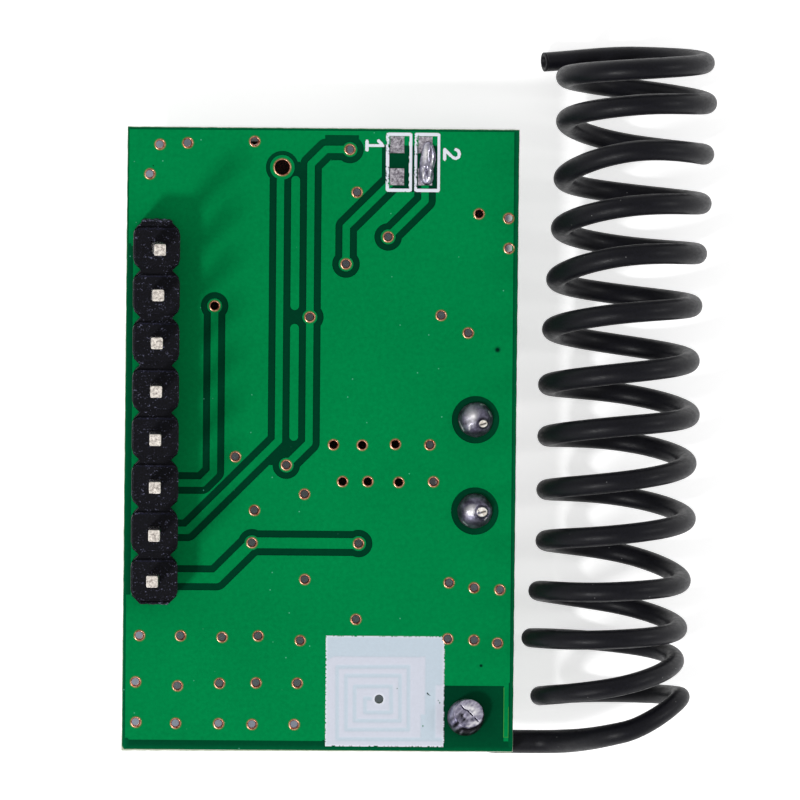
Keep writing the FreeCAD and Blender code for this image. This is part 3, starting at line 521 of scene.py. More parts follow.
white_ink = ink_finish()
rough = np.random.default_rng(11)
block_box = (ink_low[0] - ink_growth[0], ink_low[1] - ink_growth[1],
             ink_high[0] + ink_growth[2], ink_high[1] + ink_growth[3])
x, y, cell_x, cell_y = grid_over(block_box, ink_step)
over = np.min([from_box(x, y, box) for box in copper_under_ink], axis=0)
corner_run = np.subtract(*copper_corner[::-1])
past_corner = ((x - copper_corner[0][0]) * -corner_run[1]
               + (y - copper_corner[0][1]) * corner_run[0]) / np.hypot(*corner_run)
over = np.maximum(over, past_corner)
over = np.maximum(over, coil_gap_line / 2 - to_line(x, y, coil_gap_turns))
over_copper = np.clip(0.5 - over / 0.08, 0, 1)
teeth = rough.uniform(0.0, 1.0, (4, max(cell_x.shape))) ** 2 * teeth_depth
rows, columns = cell_x.shape
keep = ((cell_x > block_box[0] + teeth[0, :rows, None])
        & (cell_x < block_box[2] - teeth[1, :rows, None])
        & (cell_y > block_box[1] + teeth[2, None, :columns])
        & (cell_y < block_box[3] - teeth[3, None, :columns]))
keep &= np.hypot(cell_x - block_hole[0], cell_y - block_hole[1]) > block_hole[2]
for scratch in scratches:
    keep &= to_line(cell_x, cell_y, scratch) > 0.03 * (wobble(cell_x * 2 + cell_y, 2) > 0.05)
for nick in nicks:
    keep &= np.hypot(cell_x - nick[0], cell_y - nick[1]) > nick[2]
from_rim = np.minimum(-from_box(x, y, block_box),
                      np.hypot(x - block_hole[0], y - block_hole[1]) - block_hole[2])
corner_via = holes[np.hypot(holes[:, 0] - via_at_block_corner[0],
                            holes[:, 1] - via_at_block_corner[1]).argmin()]
keep &= np.hypot(cell_x - corner_via[0], cell_y - corner_via[1]) > corner_via[2] + ring_reach
x, y = round_hole(x, y, block_hole, ink_step)
points, faces, used = sheet(x, y, ink_over_mask + (ink_over_copper - ink_over_mask) * over_copper,
                            0.0, keep)
block = add_piece("ink_block", points, faces, white_ink, True,
                  {"over_copper": over_copper.ravel()[used],
                   "ink_rim": np.clip(1.0 - from_rim / 0.13, 0, 1).ravel()[used]})
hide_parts("legend_block")


# Jumper marks: two frames and the numbers beside them in the same ink. The lines wobble and
# thin out beside the pads, where the screen rode on the tin.

mark_step = 0.03
frame_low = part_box("jumper_frames")[0] / mm
frame_size = (1.4, 3.16)
frame_shift = 1.51
frame_line = 0.165
frame_corner = 0.035
mark_line = 0.165
one_strokes = [[(0.10, 0.62), (0.36, 0.86), (0.36, 0.0)], [(0.12, 0.0), (0.60, 0.0)]]
two_strokes = [[(0.02, 0.60), (0.08, 0.73), (0.24, 0.79), (0.42, 0.75), (0.50, 0.60), (0.44, 0.44),
                (0.02, 0.0), (0.54, 0.0)]]
one_foot = (11.24, 14.72)
two_foot = (15.41, 14.20)
marks_box = (11.0, 11.8, 16.4, 15.15)


def standing(strokes, foot):
    """A number turned a quarter turn clockwise: its height runs along X, its width down Y."""
    return [[(foot[0] + high, foot[1] - wide) for wide, high in stroke] for stroke in strokes]


x, y, cell_x, cell_y = grid_over(marks_box, mark_step)
keep = np.zeros(cell_x.shape, bool)
for number in (0, 1):
    left, foot = frame_low[0] + number * frame_shift, frame_low[1]
    inner = (left + frame_corner + frame_line / 2, foot + frame_corner + frame_line / 2,
             left + frame_size[0] - frame_corner - frame_line / 2,
             foot + frame_size[1] - frame_corner - frame_line / 2)
    line = np.abs(from_box(cell_x, cell_y, inner) - frame_corner)
    width = frame_line / 2 * (1.0 + 0.1 * wobble(cell_x * 1.3 + cell_y, number + 3))
    beside_pad = (cell_x < left + 0.25) & (np.abs(np.abs(cell_y - foot - 1.66) - 0.86) < 0.55)
    starved = beside_pad & (wobble(cell_y * 3.0 + cell_x * 4.0, number + 8) > 0.12)
    keep |= line < np.where(starved, width * 0.35, width)
for strokes in (standing(one_strokes, one_foot), standing(two_strokes, two_foot)):
    for stroke in strokes:
        keep |= to_line(cell_x, cell_y, stroke) < mark_line / 2
points, faces, used = sheet(x, y, 0.075, 0.0, keep)
marks = add_piece("ink_marks", points, faces, white_ink, True,
                  {"over_copper": np.ones(len(points)), "ink_rim": np.ones(len(points))})
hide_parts("jumper_frames")


# Small marks in the mask: a via that the mask has closed, which looks like a dark dimple, and
# a few specks. Each is a level film whose dark middle is partly the mask's own tone over the
# hole and partly painted shade of a hollow. Each is (x, y, radius of the film, radius of the dark
# middle).

dimples = [(18.33, 3.46, 0.2, 0.12), (17.58, -13.5, 0.09, 0.07), (-0.2, 13.2, 0.05, 0.03),
           (9.35, 13.55, 0.05, 0.02)]
dimple_step = 0.03
dimple_shade_colour = (0, 26, 18)


def dimple_finish():
    made = mask_finish("closed via", mask_over_copper, 0.0)
    masked = made.node_tree.nodes["Principled BSDF"].inputs["Base Color"].links[0].from_socket
    # The depth attribute paints shade into the middle of the level film.
    wire_in(made, "Base Color", blended(made, attribute(made, "depth"), masked, dimple_shade_colour))
    return made


for number, (middle_x, middle_y, reach, dark) in enumerate(dimples):
    x, y, cell_x, cell_y = grid_over((middle_x - reach, middle_y - reach, middle_x + reach,
                                      middle_y + reach), dimple_step)
    keep = np.hypot(cell_x - middle_x, cell_y - middle_y) < reach
    depth = np.clip(1.6 - np.hypot(x - middle_x, y - middle_y) / dark, 0, 1)
    points, faces, used = sheet(x, y, pour_high[2] + 0.004, film_base, keep)
    add_piece("mask_mark_" + str(number + 1), points, faces, dimple_finish(), True,
              {"depth": depth.ravel()[used]})


# Jumper pads: hot-air tinned copper, dull and mottled where the tin froze in short worm-like
# ridges.

def tin_finish(name, light, dark, roughness, lump, along, relief=0.5):
    """Tinned or soldered metal: blotches of light and dark grey, and a fine crust."""
    made = finish_of(name, light, Metallic=0.85, Roughness=roughness)
    place = place_of(made)
    blotch = grain(made, stretched(made, place, *along), lump, 4.0, 0.65)
    wire_in(made, "Base Color", blended(made, between(made, blotch, 0.38, 0.66), dark, light))
    crust = grain(made, place, lump * 0.6, 3.0, 0.6)
    wire_in(made, "Roughness", between(made, crust, 0.3, 0.7, roughness * 0.8, roughness * 1.25))
    bumped(made, crust, relief, lump * 0.12)
    return made


def worm_finish():
    """Painted highlights on frozen ridges: thin, winding, lighter lines where a noise passes through its
    middle value.
    """
    made = tin_finish("dull tin", (206, 200, 210), (112, 106, 116), 0.45, 0.2, (1.0, 1.0, 1.0))
    metal = made.node_tree.nodes["Principled BSDF"].inputs["Base Color"].links[0].from_socket
    place = place_of(made)
    swirl = grain(made, place, 0.13, 2.0, 0.5)
    off_middle = sums(made, "ABSOLUTE", sums(made, "SUBTRACT", swirl, 0.5))
    ridge_highlight = between(made, off_middle, 0.035, 0.0)
    wire_in(made, "Base Color", blended(made, sums(made, "MULTIPLY", ridge_highlight, 0.8), metal, (250, 248, 252)))
    return made


dress(worm_finish(), "jumper_pads")


# Solder bridge: a blob pulled down over the right pair of pads with the iron. Its two edges are
# given down its length; across it, each section is half an ellipse with ridges and pits added.

bridge_rows = [(14.60, 14.44, 14.62), (14.52, 14.32, 14.72), (14.40, 14.25, 14.81),
               (13.99, 14.15, 14.92), (13.61, 14.07, 14.94), (13.27, 14.05, 14.87), (13.10, 14.04, 14.81),
               (12.79, 14.02, 14.84), (12.55, 14.08, 14.82), (12.36, 14.22, 14.73), (12.24, 14.38, 14.55)]
bridge_height = 0.34
bridge_foot = 0.03
bridge_lumps = [(14.42, 13.95, 0.14, 0.42, 0.06), (14.74, 13.45, 0.10, 0.22, 0.06),
                (14.26, 12.85, 0.10, 0.22, 0.08), (14.62, 12.72, 0.11, 0.24, 0.09),
                (14.70, 14.45, 0.07, 0.05, -0.12), (14.62, 13.80, 0.05, 0.34, -0.06),
                (14.45, 12.92, 0.05, 0.26, -0.09), (14.24, 13.18, 0.14, 0.05, -0.08)]
# Painted highlights (above 0) and painted shade (below 0) on the blob: (x, y, half width, half length,
# strength).
bridge_sheen_spots = [(14.40, 14.00, 0.13, 0.40, 0.95), (14.28, 13.60, 0.08, 0.30, 0.35),
                (14.78, 13.82, 0.035, 0.07, 1.0), (14.73, 13.52, 0.07, 0.20, 0.75),
                (14.26, 13.14, 0.04, 0.06, 1.0), (14.27, 12.83, 0.05, 0.22, 0.9),
                (14.44, 12.62, 0.05, 0.05, 1.0), (14.63, 12.60, 0.07, 0.10, 0.9),
                (14.62, 12.98, 0.05, 0.22, 0.45), (14.70, 14.62, 0.09, 0.07, -0.9),
                (14.62, 13.86, 0.05, 0.35, -0.55), (14.86, 13.60, 0.05, 0.5, -0.5),
                (14.06, 13.05, 0.05, 0.35, -0.6), (14.43, 13.08, 0.045, 0.18, -0.7),
                (14.45, 12.30, 0.18, 0.07, -1.0), (14.75, 12.95, 0.05, 0.3, -0.35)]


def fan_closed(faces, rows, columns):
    """Adds the two end faces to a grid of rings that doesn't close along its rows."""
    last = (rows - 1) * columns
    return faces.tolist() + [list(range(columns))[::-1], list(range(last, last + columns))]


def patches(x, y, spots):
    """The sum of soft round spots, each (x, y, half width, half length, strength)."""
    return sum(strength * np.exp(-((x - middle_x) / wide) ** 2 - ((y - middle_y) / long) ** 2)
               for middle_x, middle_y, wide, long, strength in spots)


def painted_sheen_finish(name, light, dark, roughness, lump, relief):
    """Solder with painted sheen: a tone attribute carries it from painted shade (-1) over its own grey to
    painted highlight (1).
    """
    made = tin_finish(name, light, dark, roughness, lump, (1.0, 1.0, 1.0), relief)
    metal = made.node_tree.nodes["Principled BSDF"].inputs["Base Color"].links[0].from_socket
    tone = attribute(made, "tone")
    paler = blended(made, between(made, tone, 0.0, 1.0), metal, (255, 253, 255))
    wire_in(made, "Metallic", between(made, tone, 0.2, 1.0, 0.9, 0.45))
    wire_in(made, "Base Color", blended(made, between(made, tone, 0.0, -1.0), paler, (14, 13, 20)))
    return made


place_y, left_x, right_x = np.array(bridge_rows).T
run = np.linspace(0, 1, 110)
knots = np.linspace(0, 1, len(bridge_rows))
row_y, row_left, row_right = [np.interp(run, knots, values) for values in (place_y, left_x, right_x)]
across = np.linspace(0, np.pi, 46)
half = (row_right - row_left) / 2
bx = (row_left + half)[:, None] - half[:, None] * np.cos(across)
by = np.repeat(row_y[:, None], len(across), 1)
swell = np.sin(np.pi * run) ** 0.35
bz = bridge_foot + bridge_height * swell[:, None] * np.sin(across) ** 0.8
bz = np.maximum(bz + patches(bx, by, bridge_lumps) * np.sin(across) ** 0.6, bridge_foot)
ring = np.stack([bx, by, bz], -1)
closing = np.stack([bx[:, ::-1], by[:, ::-1], np.full_like(bz, bridge_foot - 0.03)], -1)
ring = np.concatenate([ring, closing], 1)
tone = np.clip(patches(ring[..., 0], ring[..., 1], bridge_sheen_spots), -1, 1)
bridge = add_piece("solder_bridge_blob", ring.reshape(-1, 3),
                   fan_closed(grid_faces(*ring.shape[:2], False, True), *ring.shape[:2]),
                   painted_sheen_finish("bright solder", (188, 186, 204), (128, 124, 144), 0.3, 0.2, 0.1),
                   True, {"tone": tone})
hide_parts("solder_bridge")


# Antenna: one length of hook-up wire in a black jacket, wound by hand round a former and left
# springy, so each turn has its own pitch. Its last turn comes over the top, dives under the
# board's corner and is soldered there; the far end is just cut off.

wire_width_top = 1.12
wire_width_foot = 1.04
wire_width_lead = 1.26
right_edges = [29.91, 30.04, 29.91, 29.79, 29.57, 29.34, 29.22, 29.25, 29.11, 29.10, 28.87, 28.71,
               28.55, 28.87]
left_edges = [21.34, 21.36, 21.25, 21.13, 20.90, 20.70, 20.51, 20.49, 20.45, 20.42, 20.05, 19.69,
              20.19]
right_bends = [18.93, 16.77, 14.02, 11.38, 8.69, 5.89, 2.95, 0.04, -2.56, -5.53, -8.85, -11.42,
               -13.13, -15.10]
front_strands = [18.51, 16.61, 14.14, 11.21, 8.55, 5.46, 2.24, -0.60, -3.56, -6.40, -9.46, -12.02,
                 -14.62]
left_bends = [18.12, 15.76, 12.69, 10.01, 7.28, 4.59, 1.61, -1.16, -4.04, -6.77, -9.47, -12.0,
              -15.11]
back_strands = [17.53, 14.55, 11.90, 9.08, 6.49, 3.80, 1.20, -1.36, -4.31, -7.32, -10.07, -12.2,
                -14.95]
slant_in_front = 0.09
slant_behind = 0.12
coil_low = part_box("antenna_coil")[0] / mm
jacket_radius = 0.575
wind_radius = 3.775
coil_middle_z = coil_low[2] + jacket_radius + wind_radius
steps_per_quarter = 22


def smooth_through(values, at):
    """A cubic through evenly spaced values, level with the slope of each value's neighbours."""
    values = np.asarray(values, float)
    slope = np.gradient(values)
    left = np.clip(np.floor(at).astype(int), 0, len(values) - 2)
    t = at - left
    rise = values[left + 1] - values[left]
    ease = t * t * (3 - 2 * t)
    return (values[left] + rise * ease + slope[left] * (t ** 3 - 2 * t * t + t)
            + slope[left + 1] * (t ** 3 - t * t))


def winding():
    """x = middle + half width times cos, z = middle + radius times sin of the quarter-turns gone,
    and y a smooth curve through the height of each strand and bend."""
    heights = np.empty(4 * len(left_bends) + 1)
    heights[0::4] = right_bends
    heights[1::4] = np.add(front_strands, slant_in_front)
    heights[2::4] = left_bends
    heights[3::4] = np.subtract(back_strands, slant_behind)
    quarters = np.linspace(0, len(heights) - 1, (len(heights) - 1) * steps_per_quarter + 1)
    angle = quarters * np.pi / 2
    right = np.interp(quarters / 4, np.arange(len(right_edges)), right_edges) - jacket_radius
    left = np.interp(quarters / 4 - 0.5, np.arange(len(left_edges)), left_edges) + jacket_radius
    x = (right + left) / 2 + (right - left) / 2 * np.cos(angle)
    return np.stack([x, smooth_through(heights, quarters),
                     coil_middle_z + wind_radius * np.sin(angle)], -1)


def easy_bend(start, leaving, end, arriving, steps):
    """A cubic from start to end that leaves and arrives along two directions."""
    start, end = np.array(start, float), np.array(end, float)
    reach = np.linalg.norm(end - start)
    leaving = np.array(leaving, float) / np.linalg.norm(leaving) * reach
    arriving = np.array(arriving, float) / np.linalg.norm(arriving) * reach
    t = np.linspace(0, 1, steps + 1)[:-1, None]
    return ((2 * t ** 3 - 3 * t ** 2 + 1) * start + (t ** 3 - 2 * t ** 2 + t) * leaving
            + (3 * t ** 2 - 2 * t ** 3) * end + (t ** 3 - t ** 2) * arriving)


def tube(path, radii, around, caps):
    """A circle carried along a path: point + radius (cos a side + sin a up), where side is level
    and square to the path. caps are (reach, share) rings past each end that narrow to a point."""
    ahead = np.gradient(path, axis=0)
    ahead /= np.linalg.norm(ahead, axis=1)[:, None]
    first, last = np.array(caps[0]), np.array(caps[1])
    start = path[0] - first[:, :1] * ahead[0]
    end = path[-1] + last[:, :1] * ahead[-1]
    radii = np.concatenate([first[:, 1] * radii[0], radii, last[:, 1] * radii[-1]])
    ahead = np.vstack([np.repeat(ahead[:1], len(first), 0), ahead, np.repeat(ahead[-1:], len(last), 0)])
    path = np.vstack([start, path, end])
    side = np.cross(ahead, (0, 1, 0))
    side /= np.linalg.norm(side, axis=1)[:, None]
    up = np.cross(side, ahead)
    angle = np.linspace(0, 2 * np.pi, around, endpoint=False)[None, :, None]
    circle = np.cos(angle) * side[:, None] + np.sin(angle) * up[:, None]
    points = (path[:, None] + radii[:, None, None] * circle).reshape(-1, 3)
    faces = grid_faces(len(path), around, False, True)[:, ::-1].tolist()
    rims = [list(range(around)), list(range(len(points) - around, len(points)))[::-1]]
    return points, faces + rims


def jacket_finish():
    """Matt black insulation with a fine bloom, small scuffs and a few pale specks of dust."""
    made = finish_of("black wire jacket", (17, 17, 21), Roughness=0.42, Specular_IOR_Level=0.2)
    place = place_of(made)
    fine = grain(made, place, 0.09, 3.0, 0.7)
    scuffs = grain(made, stretched(made, place, 1.0, 2.5, 1.0), 0.35, 4.0, 0.75)
    base = blended(made, between(made, fine, 0.35, 0.75), (9, 9, 14), (21, 21, 30))
    dusty = blended(made, sums(made, "MULTIPLY", specks(made, place, 0.8, 0.035), 0.6), base,
                    (150, 150, 150))
    wire_in(made, "Base Color", dusty)
    wire_in(made, "Roughness", between(made, scuffs, 0.35, 0.7, 0.34, 0.54))
    bumped(made, sums(made, "ADD", fine, scuffs), 0.35, 0.02)
    return made


free_end = (20.8, 18.86, coil_low[2] + jacket_radius + 0.55)
free_crest = (25.6, 19.21, coil_low[2] + jacket_radius)
coil_path = winding()
top_bend = coil_path[0]
last_bend = coil_path[-1]
lead_crest = (25.2, -16.95, 1.55)
under_edge = (20.5, -17.63, -1.855)
under_corner = (18.41, -17.63, -1.855)
jacket_end = (17.11, -16.88, -1.855)
antenna_path = np.vstack([
    easy_bend(free_end, (1, 0.06, -0.36), free_crest, (1, 0.0, 0.04), 40),
    easy_bend(free_crest, (1, 0.0, 0.04), top_bend, (0, -0.11, 1), 40),
    coil_path[:-1],
    easy_bend(last_bend, (0, -0.13, 1), lead_crest, (-1, -0.24, -0.12), 40),
    easy_bend(lead_crest, (-1, -0.24, -0.12), under_edge, (-1, 0, 0), 40),
    easy_bend(under_edge, (-1, 0, 0), under_corner, (-1, 0, 0), 12),
    easy_bend(under_corner, (-1, 0, 0), jacket_end, (-0.5, 0.866, 0), 16)])
along = np.linspace(0, 1, len(antenna_path))
jacket_radii = np.interp(along, [0, 0.04, 0.07, 0.5, 0.8, 0.93, 0.97, 1.0],
                         np.array([1.04, 1.02, wire_width_top, wire_width_top, wire_width_foot,
                                   wire_width_foot, wire_width_lead, wire_width_lead]) / 2)
cut_end = [(-0.2, 0.02), (-0.2, 0.5), (-0.02, 0.58), (0.03, 0.68), (0.04, 0.8), (0.0, 0.93),
           (-0.06, 1.0)]
plain_end = [(0.02, 0.97), (0.05, 0.8), (0.05, 0.5)]
points, faces = tube(antenna_path, jacket_radii, 28, (cut_end, plain_end))
antenna = add_piece("wire_antenna", points, faces, jacket_finish())
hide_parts("antenna_coil")


# Crystal joints: two domes of solder that rose round the leads, each in its clear ring. The lead
# ends stand out of them, cut off with pliers; flux has browned the rims. Their highlights, bright
# arcs and the shade round the leads are painted into the solder's colour.

dome_radius = 0.935
dome_height = 0.74
dome_places = [(17.18, -0.30), (17.18, -5.20)]
# Painted highlights (above 0) and painted shade (below 0) on each dome: (x, y, half width, half length,
# strength) from its middle.
dome_sheen_spots = [[(-0.18, 0.16, 0.34, 0.40, 0.62), (-0.12, 0.20, 0.13, 0.13, 0.5),
               (0.34, -0.10, 0.3, 0.3, -0.55), (0.0, -0.72, 0.6, 0.14, -0.75),
               (0.78, 0.0, 0.12, 0.5, -0.35), (-0.80, 0.1, 0.12, 0.5, -0.5),
               (-0.34, -0.42, 0.05, 0.2, 0.55), (0.45, 0.70, 0.3, 0.12, -0.4)],
              [(-0.20, 0.12, 0.34, 0.34, 0.6), (-0.12, -0.02, 0.20, 0.18, 0.3),
               (-0.5, 0.5, 0.22, 0.22, -0.5),
               (-0.8, -0.1, 0.14, 0.5, -0.65), (0.05, -0.66, 0.6, 0.16, -0.7), (0.1, 0.5, 0.5, 0.1, -0.45),
               (0.7, 0.45, 0.2, 0.2, -0.5), (0.1, -0.35, 0.3, 0.14, -0.35)]]
# Thin painted highlights on each dome: the two ends of each bright arc, from its middle.
dome_glint_arcs = [[(0.28, 0.83, 0.55, 0.80), (0.70, 0.45, 0.82, 0.20), (-0.88, -0.10, -0.64, -0.60)],
             [(0.62, -0.32, 0.52, -0.46), (-0.62, -0.58, -0.40, -0.76)]]
lead_ends = [(0.40, -0.19, 0.22, 0.19), (0.37, -0.02, 0.29, 0.25)]
lead_radius = 0.2
lead_top = 0.79
lead_root_shift = 0.33
lead_groove = (0.96, 0.28)
lead_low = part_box("crystal_leads")[0] / mm


def lumpy(x, y, size, seed):
    """A smooth random height from sines that run in several directions."""
    random = np.random.default_rng(seed)
    turn, shift = random.uniform(0, 6.3, (2, 7))
    pitch = random.uniform(0.7, 2.2, 7) * 6.3 / size
    wave = (x[..., None] * np.cos(turn) + y[..., None] * np.sin(turn)) * pitch + shift
    return np.sin(wave).mean(-1)


def fluxed_finish(name, light, dark, flux, rim_height, roughness, relief):
    """Solder with painted sheen that is burnt brown low down, along an uneven line."""
    made = painted_sheen_finish(name, light, dark, roughness, 0.4, relief)
    metal = made.node_tree.nodes["Principled BSDF"].inputs["Base Color"].links[0].from_socket
    place = place_of(made)
    height = part_of_place(made, place, "Z")
    burnt = sums(made, "ADD", height, between(made, grain(made, place, 0.3, 3.0), 0.3, 0.7, -0.14, 0.14))
    low = between(made, burnt, rim_height, rim_height * 0.3)
    wire_in(made, "Base Color", blended(made, low, metal, flux))
    shiny = made.node_tree.nodes["Principled BSDF"].inputs["Metallic"].links[0].from_socket
    wire_in(made, "Metallic", sums(made, "MULTIPLY", shiny, between(made, low, 0.0, 1.0, 1.0, 0.4)))
    return made


joint_solder = fluxed_finish("crystal joint solder", (140, 138, 158), (84, 80, 98), (38, 26, 20), 0.22,
                             0.46, 0.12)


def lead_finish():
    """Pale cut metal, with painted shade in its groove."""
    made = finish_of("cut lead end", (255, 250, 240), Metallic=0.1, Roughness=0.5)
    place = place_of(made)
    fine = grain(made, place, 0.12, 3.0)
    cut = blended(made, between(made, fine, 0.4, 0.6), (226, 216, 204), (255, 252, 246))
    wire_in(made, "Base Color", blended(made, attribute(made, "groove"), cut, (24, 18, 16)))
    bumped(made, fine, 0.3, 0.01)
    return made


lead_points, lead_faces, lead_grooves = [], [], []
for number, name in enumerate(("crystal_joint_upper", "crystal_joint_lower")):
    dome_x, dome_y = dome_places[number]
    share = np.concatenate([np.linspace(0.02, 1.0, 60), [1.0, 0.7, 0.05]])
    turn = np.linspace(0, 2 * np.pi, 120, endpoint=False)
    seed = 5 + 4 * number
    reach = share[:, None] * dome_radius * (1.0 + 0.012 * np.sin(3 * turn + seed) + 0.008 * np.sin(7 * turn))
    dx, dy = reach * np.cos(turn), reach * np.sin(turn)
    lift = dome_height * (1.0 - share[:, None] ** 2.2) ** 0.62 * (1.0 + 0.05 * lumpy(dx, dy, 1.0, seed))
    lift += 0.008 * lumpy(dx, dy, 0.35, seed + 1) * (share[:, None] < 0.99)
    end_x, end_y, end_wide, end_long = lead_ends[number]
    collar = np.exp(-((np.hypot(dx - end_x, dy - end_y) - end_wide - 0.06) / 0.06) ** 2)
    lift = lift - 0.05 * collar + 0.05
    lift[-3:] = 0.0
    # Painted shade darkens the ring round each lead end, and painted highlights follow the arcs.
    tone = patches(dx, dy, dome_sheen_spots[number]) - 0.5 * collar
    for arc in dome_glint_arcs[number]:
        bright = np.exp(-(to_line(dx, dy, [arc[:2], arc[2:]]) / 0.04) ** 2)
        tone = tone + 0.7 * bright
    dome = np.stack([dome_x + dx, dome_y + dy, lift], -1)
    faces = fan_closed(grid_faces(*dome.shape[:2], False, True), *dome.shape[:2])
    dome = add_piece(name + "_dome", dome.reshape(-1, 3), faces, joint_solder, True,
                     {"tone": np.clip(tone, -1, 1)})
    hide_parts(name)
    level = np.array([lead_low[2], lead_low[2], 0.0, 0.35, lead_top - 0.03, *[lead_top] * 8])
    width = np.array([0.05, 1.0, 1.0, 1.0, 1.0, 0.93, 0.85, 0.7, 0.55, 0.4, 0.25, 0.12, 0.02])
    shift = np.clip(level / 0.5, 0, 1)[:, None]
    wide = lead_radius + (end_wide - lead_radius) * shift
    long = lead_radius + (end_long - lead_radius) * shift
    angle = np.linspace(0, 2 * np.pi, 48, endpoint=False)
    lx = lead_root_shift + (end_x - lead_root_shift) * shift + wide * width[:, None] * np.cos(angle)
    ly = end_y * shift + long * width[:, None] * np.sin(angle)
    off = (ly - end_y) * lead_groove[0] + (lx - end_x) * -lead_groove[1] + 0.02
    # The groove dents the lead end and also carries painted shade into it.
    groove = (np.exp(-(off / 0.045) ** 2) * (np.abs(lx - end_x) < end_wide * 0.8)
              * (level > lead_top - 0.01)[:, None])
    dent = 0.02 * lumpy(lx, ly, 0.3, seed + 2) * (level > lead_top - 0.05)[:, None]
    lz = level[:, None] - 0.06 * groove + dent
    lead_faces += [[corner + number * level.size * 48 for corner in face] for face in
                   fan_closed(grid_faces(level.size, 48, False, True), level.size, 48)]
    lead_points.append(np.stack([dome_x + lx, dome_y + ly, lz], -1).reshape(-1, 3))
    lead_grooves.append(groove.ravel())
leads = add_piece("cut_crystal_leads", np.vstack(lead_points), lead_faces, lead_finish(),
                  True, {"groove": np.concatenate(lead_grooves)})
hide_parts("crystal_leads")
dress(tin_finish("bare wire end", (236, 230, 222), (150, 138, 130), 0.25, 0.12, (1.0, 1.0, 1.0)),
      "antenna_tail")


# Antenna joint: a heap of solder whose top was shaved off with cutters. The cut is crossed by
# the marks of the blades and by a crack; the sides are crusted, with burnt flux at the foot.
# Its highlights and shade are painted into the solder's colour.

mound_place = (16.77, -16.29)
mound_foot_reach = 0.985
mound_top_reach = 0.735
mound_level = 0.9
mound_shift = (0.19, 0.25)
crack = [(16.50, -15.60), (16.66, -15.80), (16.86, -15.88), (17.12, -16.14)]
second_crack = [(17.25, -16.26), (17.44, -16.46)]
dimple = (16.58, -16.22)
mound_sheen_spots = [(16.90, -15.72, 0.30, 0.16, 0.7), (17.22, -15.95, 0.22, 0.22, 0.7),
               (17.32, -16.52, 0.20, 0.10, 0.8), (17.05, -16.72, 0.22, 0.09, 0.7),
               (16.56, -16.16, 0.20, 0.24, -0.9), (16.72, -16.42, 0.14, 0.12, -0.5),
               (17.12, -16.34, 0.14, 0.1, -0.6)]

share = np.concatenate([[0.0, 0.0], np.linspace(0.0, 1.0, 30), np.ones(50)])
inward = np.concatenate([[0.04, 0.8], np.ones(30), np.linspace(0.985, 0.02, 50)])
turn = np.linspace(0, 2 * np.pi, 144, endpoint=False)
reach = mound_foot_reach + (mound_top_reach - mound_foot_reach) * share ** 1.6
reach = reach[:, None] * inward[:, None] * np.ones(144)
middle_x = mound_place[0] + mound_shift[0] * share[:, None]
middle_y = mound_place[1] + mound_shift[1] * share[:, None]
crust = lumpy(np.cos(turn)[None] + share[:, None], np.sin(turn)[None] + share[:, None] * 2, 0.9, 4)
side = np.sin(np.pi * share)[:, None] > 0.05
reach = reach * (1.0 + 0.02 * crust * side)
mx, my = middle_x + reach * np.cos(turn), middle_y + reach * np.sin(turn)
mz = mound_level * np.sin(share * np.pi / 2)[:, None] ** 0.85 * np.ones(144)
on_top = (np.arange(len(share)) >= 32)[:, None]
streaks = np.sin((mx * 0.72 - my * 0.69) * 26.0 + 2.0 * np.sin(mx * 3.0 + my)) * lumpy(mx, my, 0.9, 31)
pit = np.exp(-((mx - dimple[0]) ** 2 + (my - dimple[1]) ** 2) / 0.16 ** 2)
slit = np.clip(np.exp(-(to_line(mx, my, crack) / 0.024) ** 2)
               + np.exp(-(to_line(mx, my, second_crack) / 0.022) ** 2), 0, 1)
slit = slit * (0.75 + 0.25 * np.sign(lumpy(mx, my, 0.12, 12) + 0.2))
mz = mz + on_top * (0.004 * streaks - 0.05 * pit - 0.12 * slit)
mz[:2] = 0.0
lean = np.arctan2(my - middle_y, mx - middle_x)
# A painted highlight along the rim of the cut, strongest on one side.
ridge_highlight = (np.exp(-((share[:, None] - 0.96) / 0.03) ** 2) * ~on_top
         * np.clip(np.cos(lean + 1.1) + 0.7 * lumpy(mx, my, 0.5, 14), 0, 1))
# Painted light on the sides: random mottling plus shade that follows which way each side faces.
side_mottle_and_shade = 0.8 * lumpy(mx, my, 0.6, 8) + 0.35 * np.cos(lean - 2.9) - 0.55 + 0.5 * np.sin(lean)
# Tone on the cut: painted highlight and shade spots, the blade marks, random mottling and painted shade in
# the cracks; the foot rings take painted shade.
tone = np.where(on_top, patches(mx, my, mound_sheen_spots) + 0.5 * streaks + 0.35 * lumpy(mx, my, 0.3, 9)
                - 1.3 * slit, side_mottle_and_shade + 1.3 * ridge_highlight)
tone[:2] = -0.5
mound = np.stack([mx, my, mz], -1)[::-1]
mound_solder = fluxed_finish("cut solder", (192, 188, 206), (120, 116, 142), (34, 26, 22), 0.2, 0.44,
                             0.12)
mound = add_piece("cut_solder_mound", mound.reshape(-1, 3),
                  fan_closed(grid_faces(*mound.shape[:2], False, True), *mound.shape[:2]),
                  mound_solder, True, {"tone": np.clip(tone, -1, 1)[::-1]})
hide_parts("antenna_joint")


# Header: black moulding of notched cells, its edges painted blue-grey as a highlight. It was
# snapped off a longer strip, so both ends show the rough broken neck.

cell_count = 8
pin_pitch = 2.54
cell_line = 0.965
housing_low, housing_high = [np.array(corner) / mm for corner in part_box("header_housing")]
stub_ends = (-10.19, 10.28)
neck_half_width = 0.78
neck_foot = housing_low[2] + 0.05
neck_top = housing_high[2] - 0.04
neck_step = 0.05


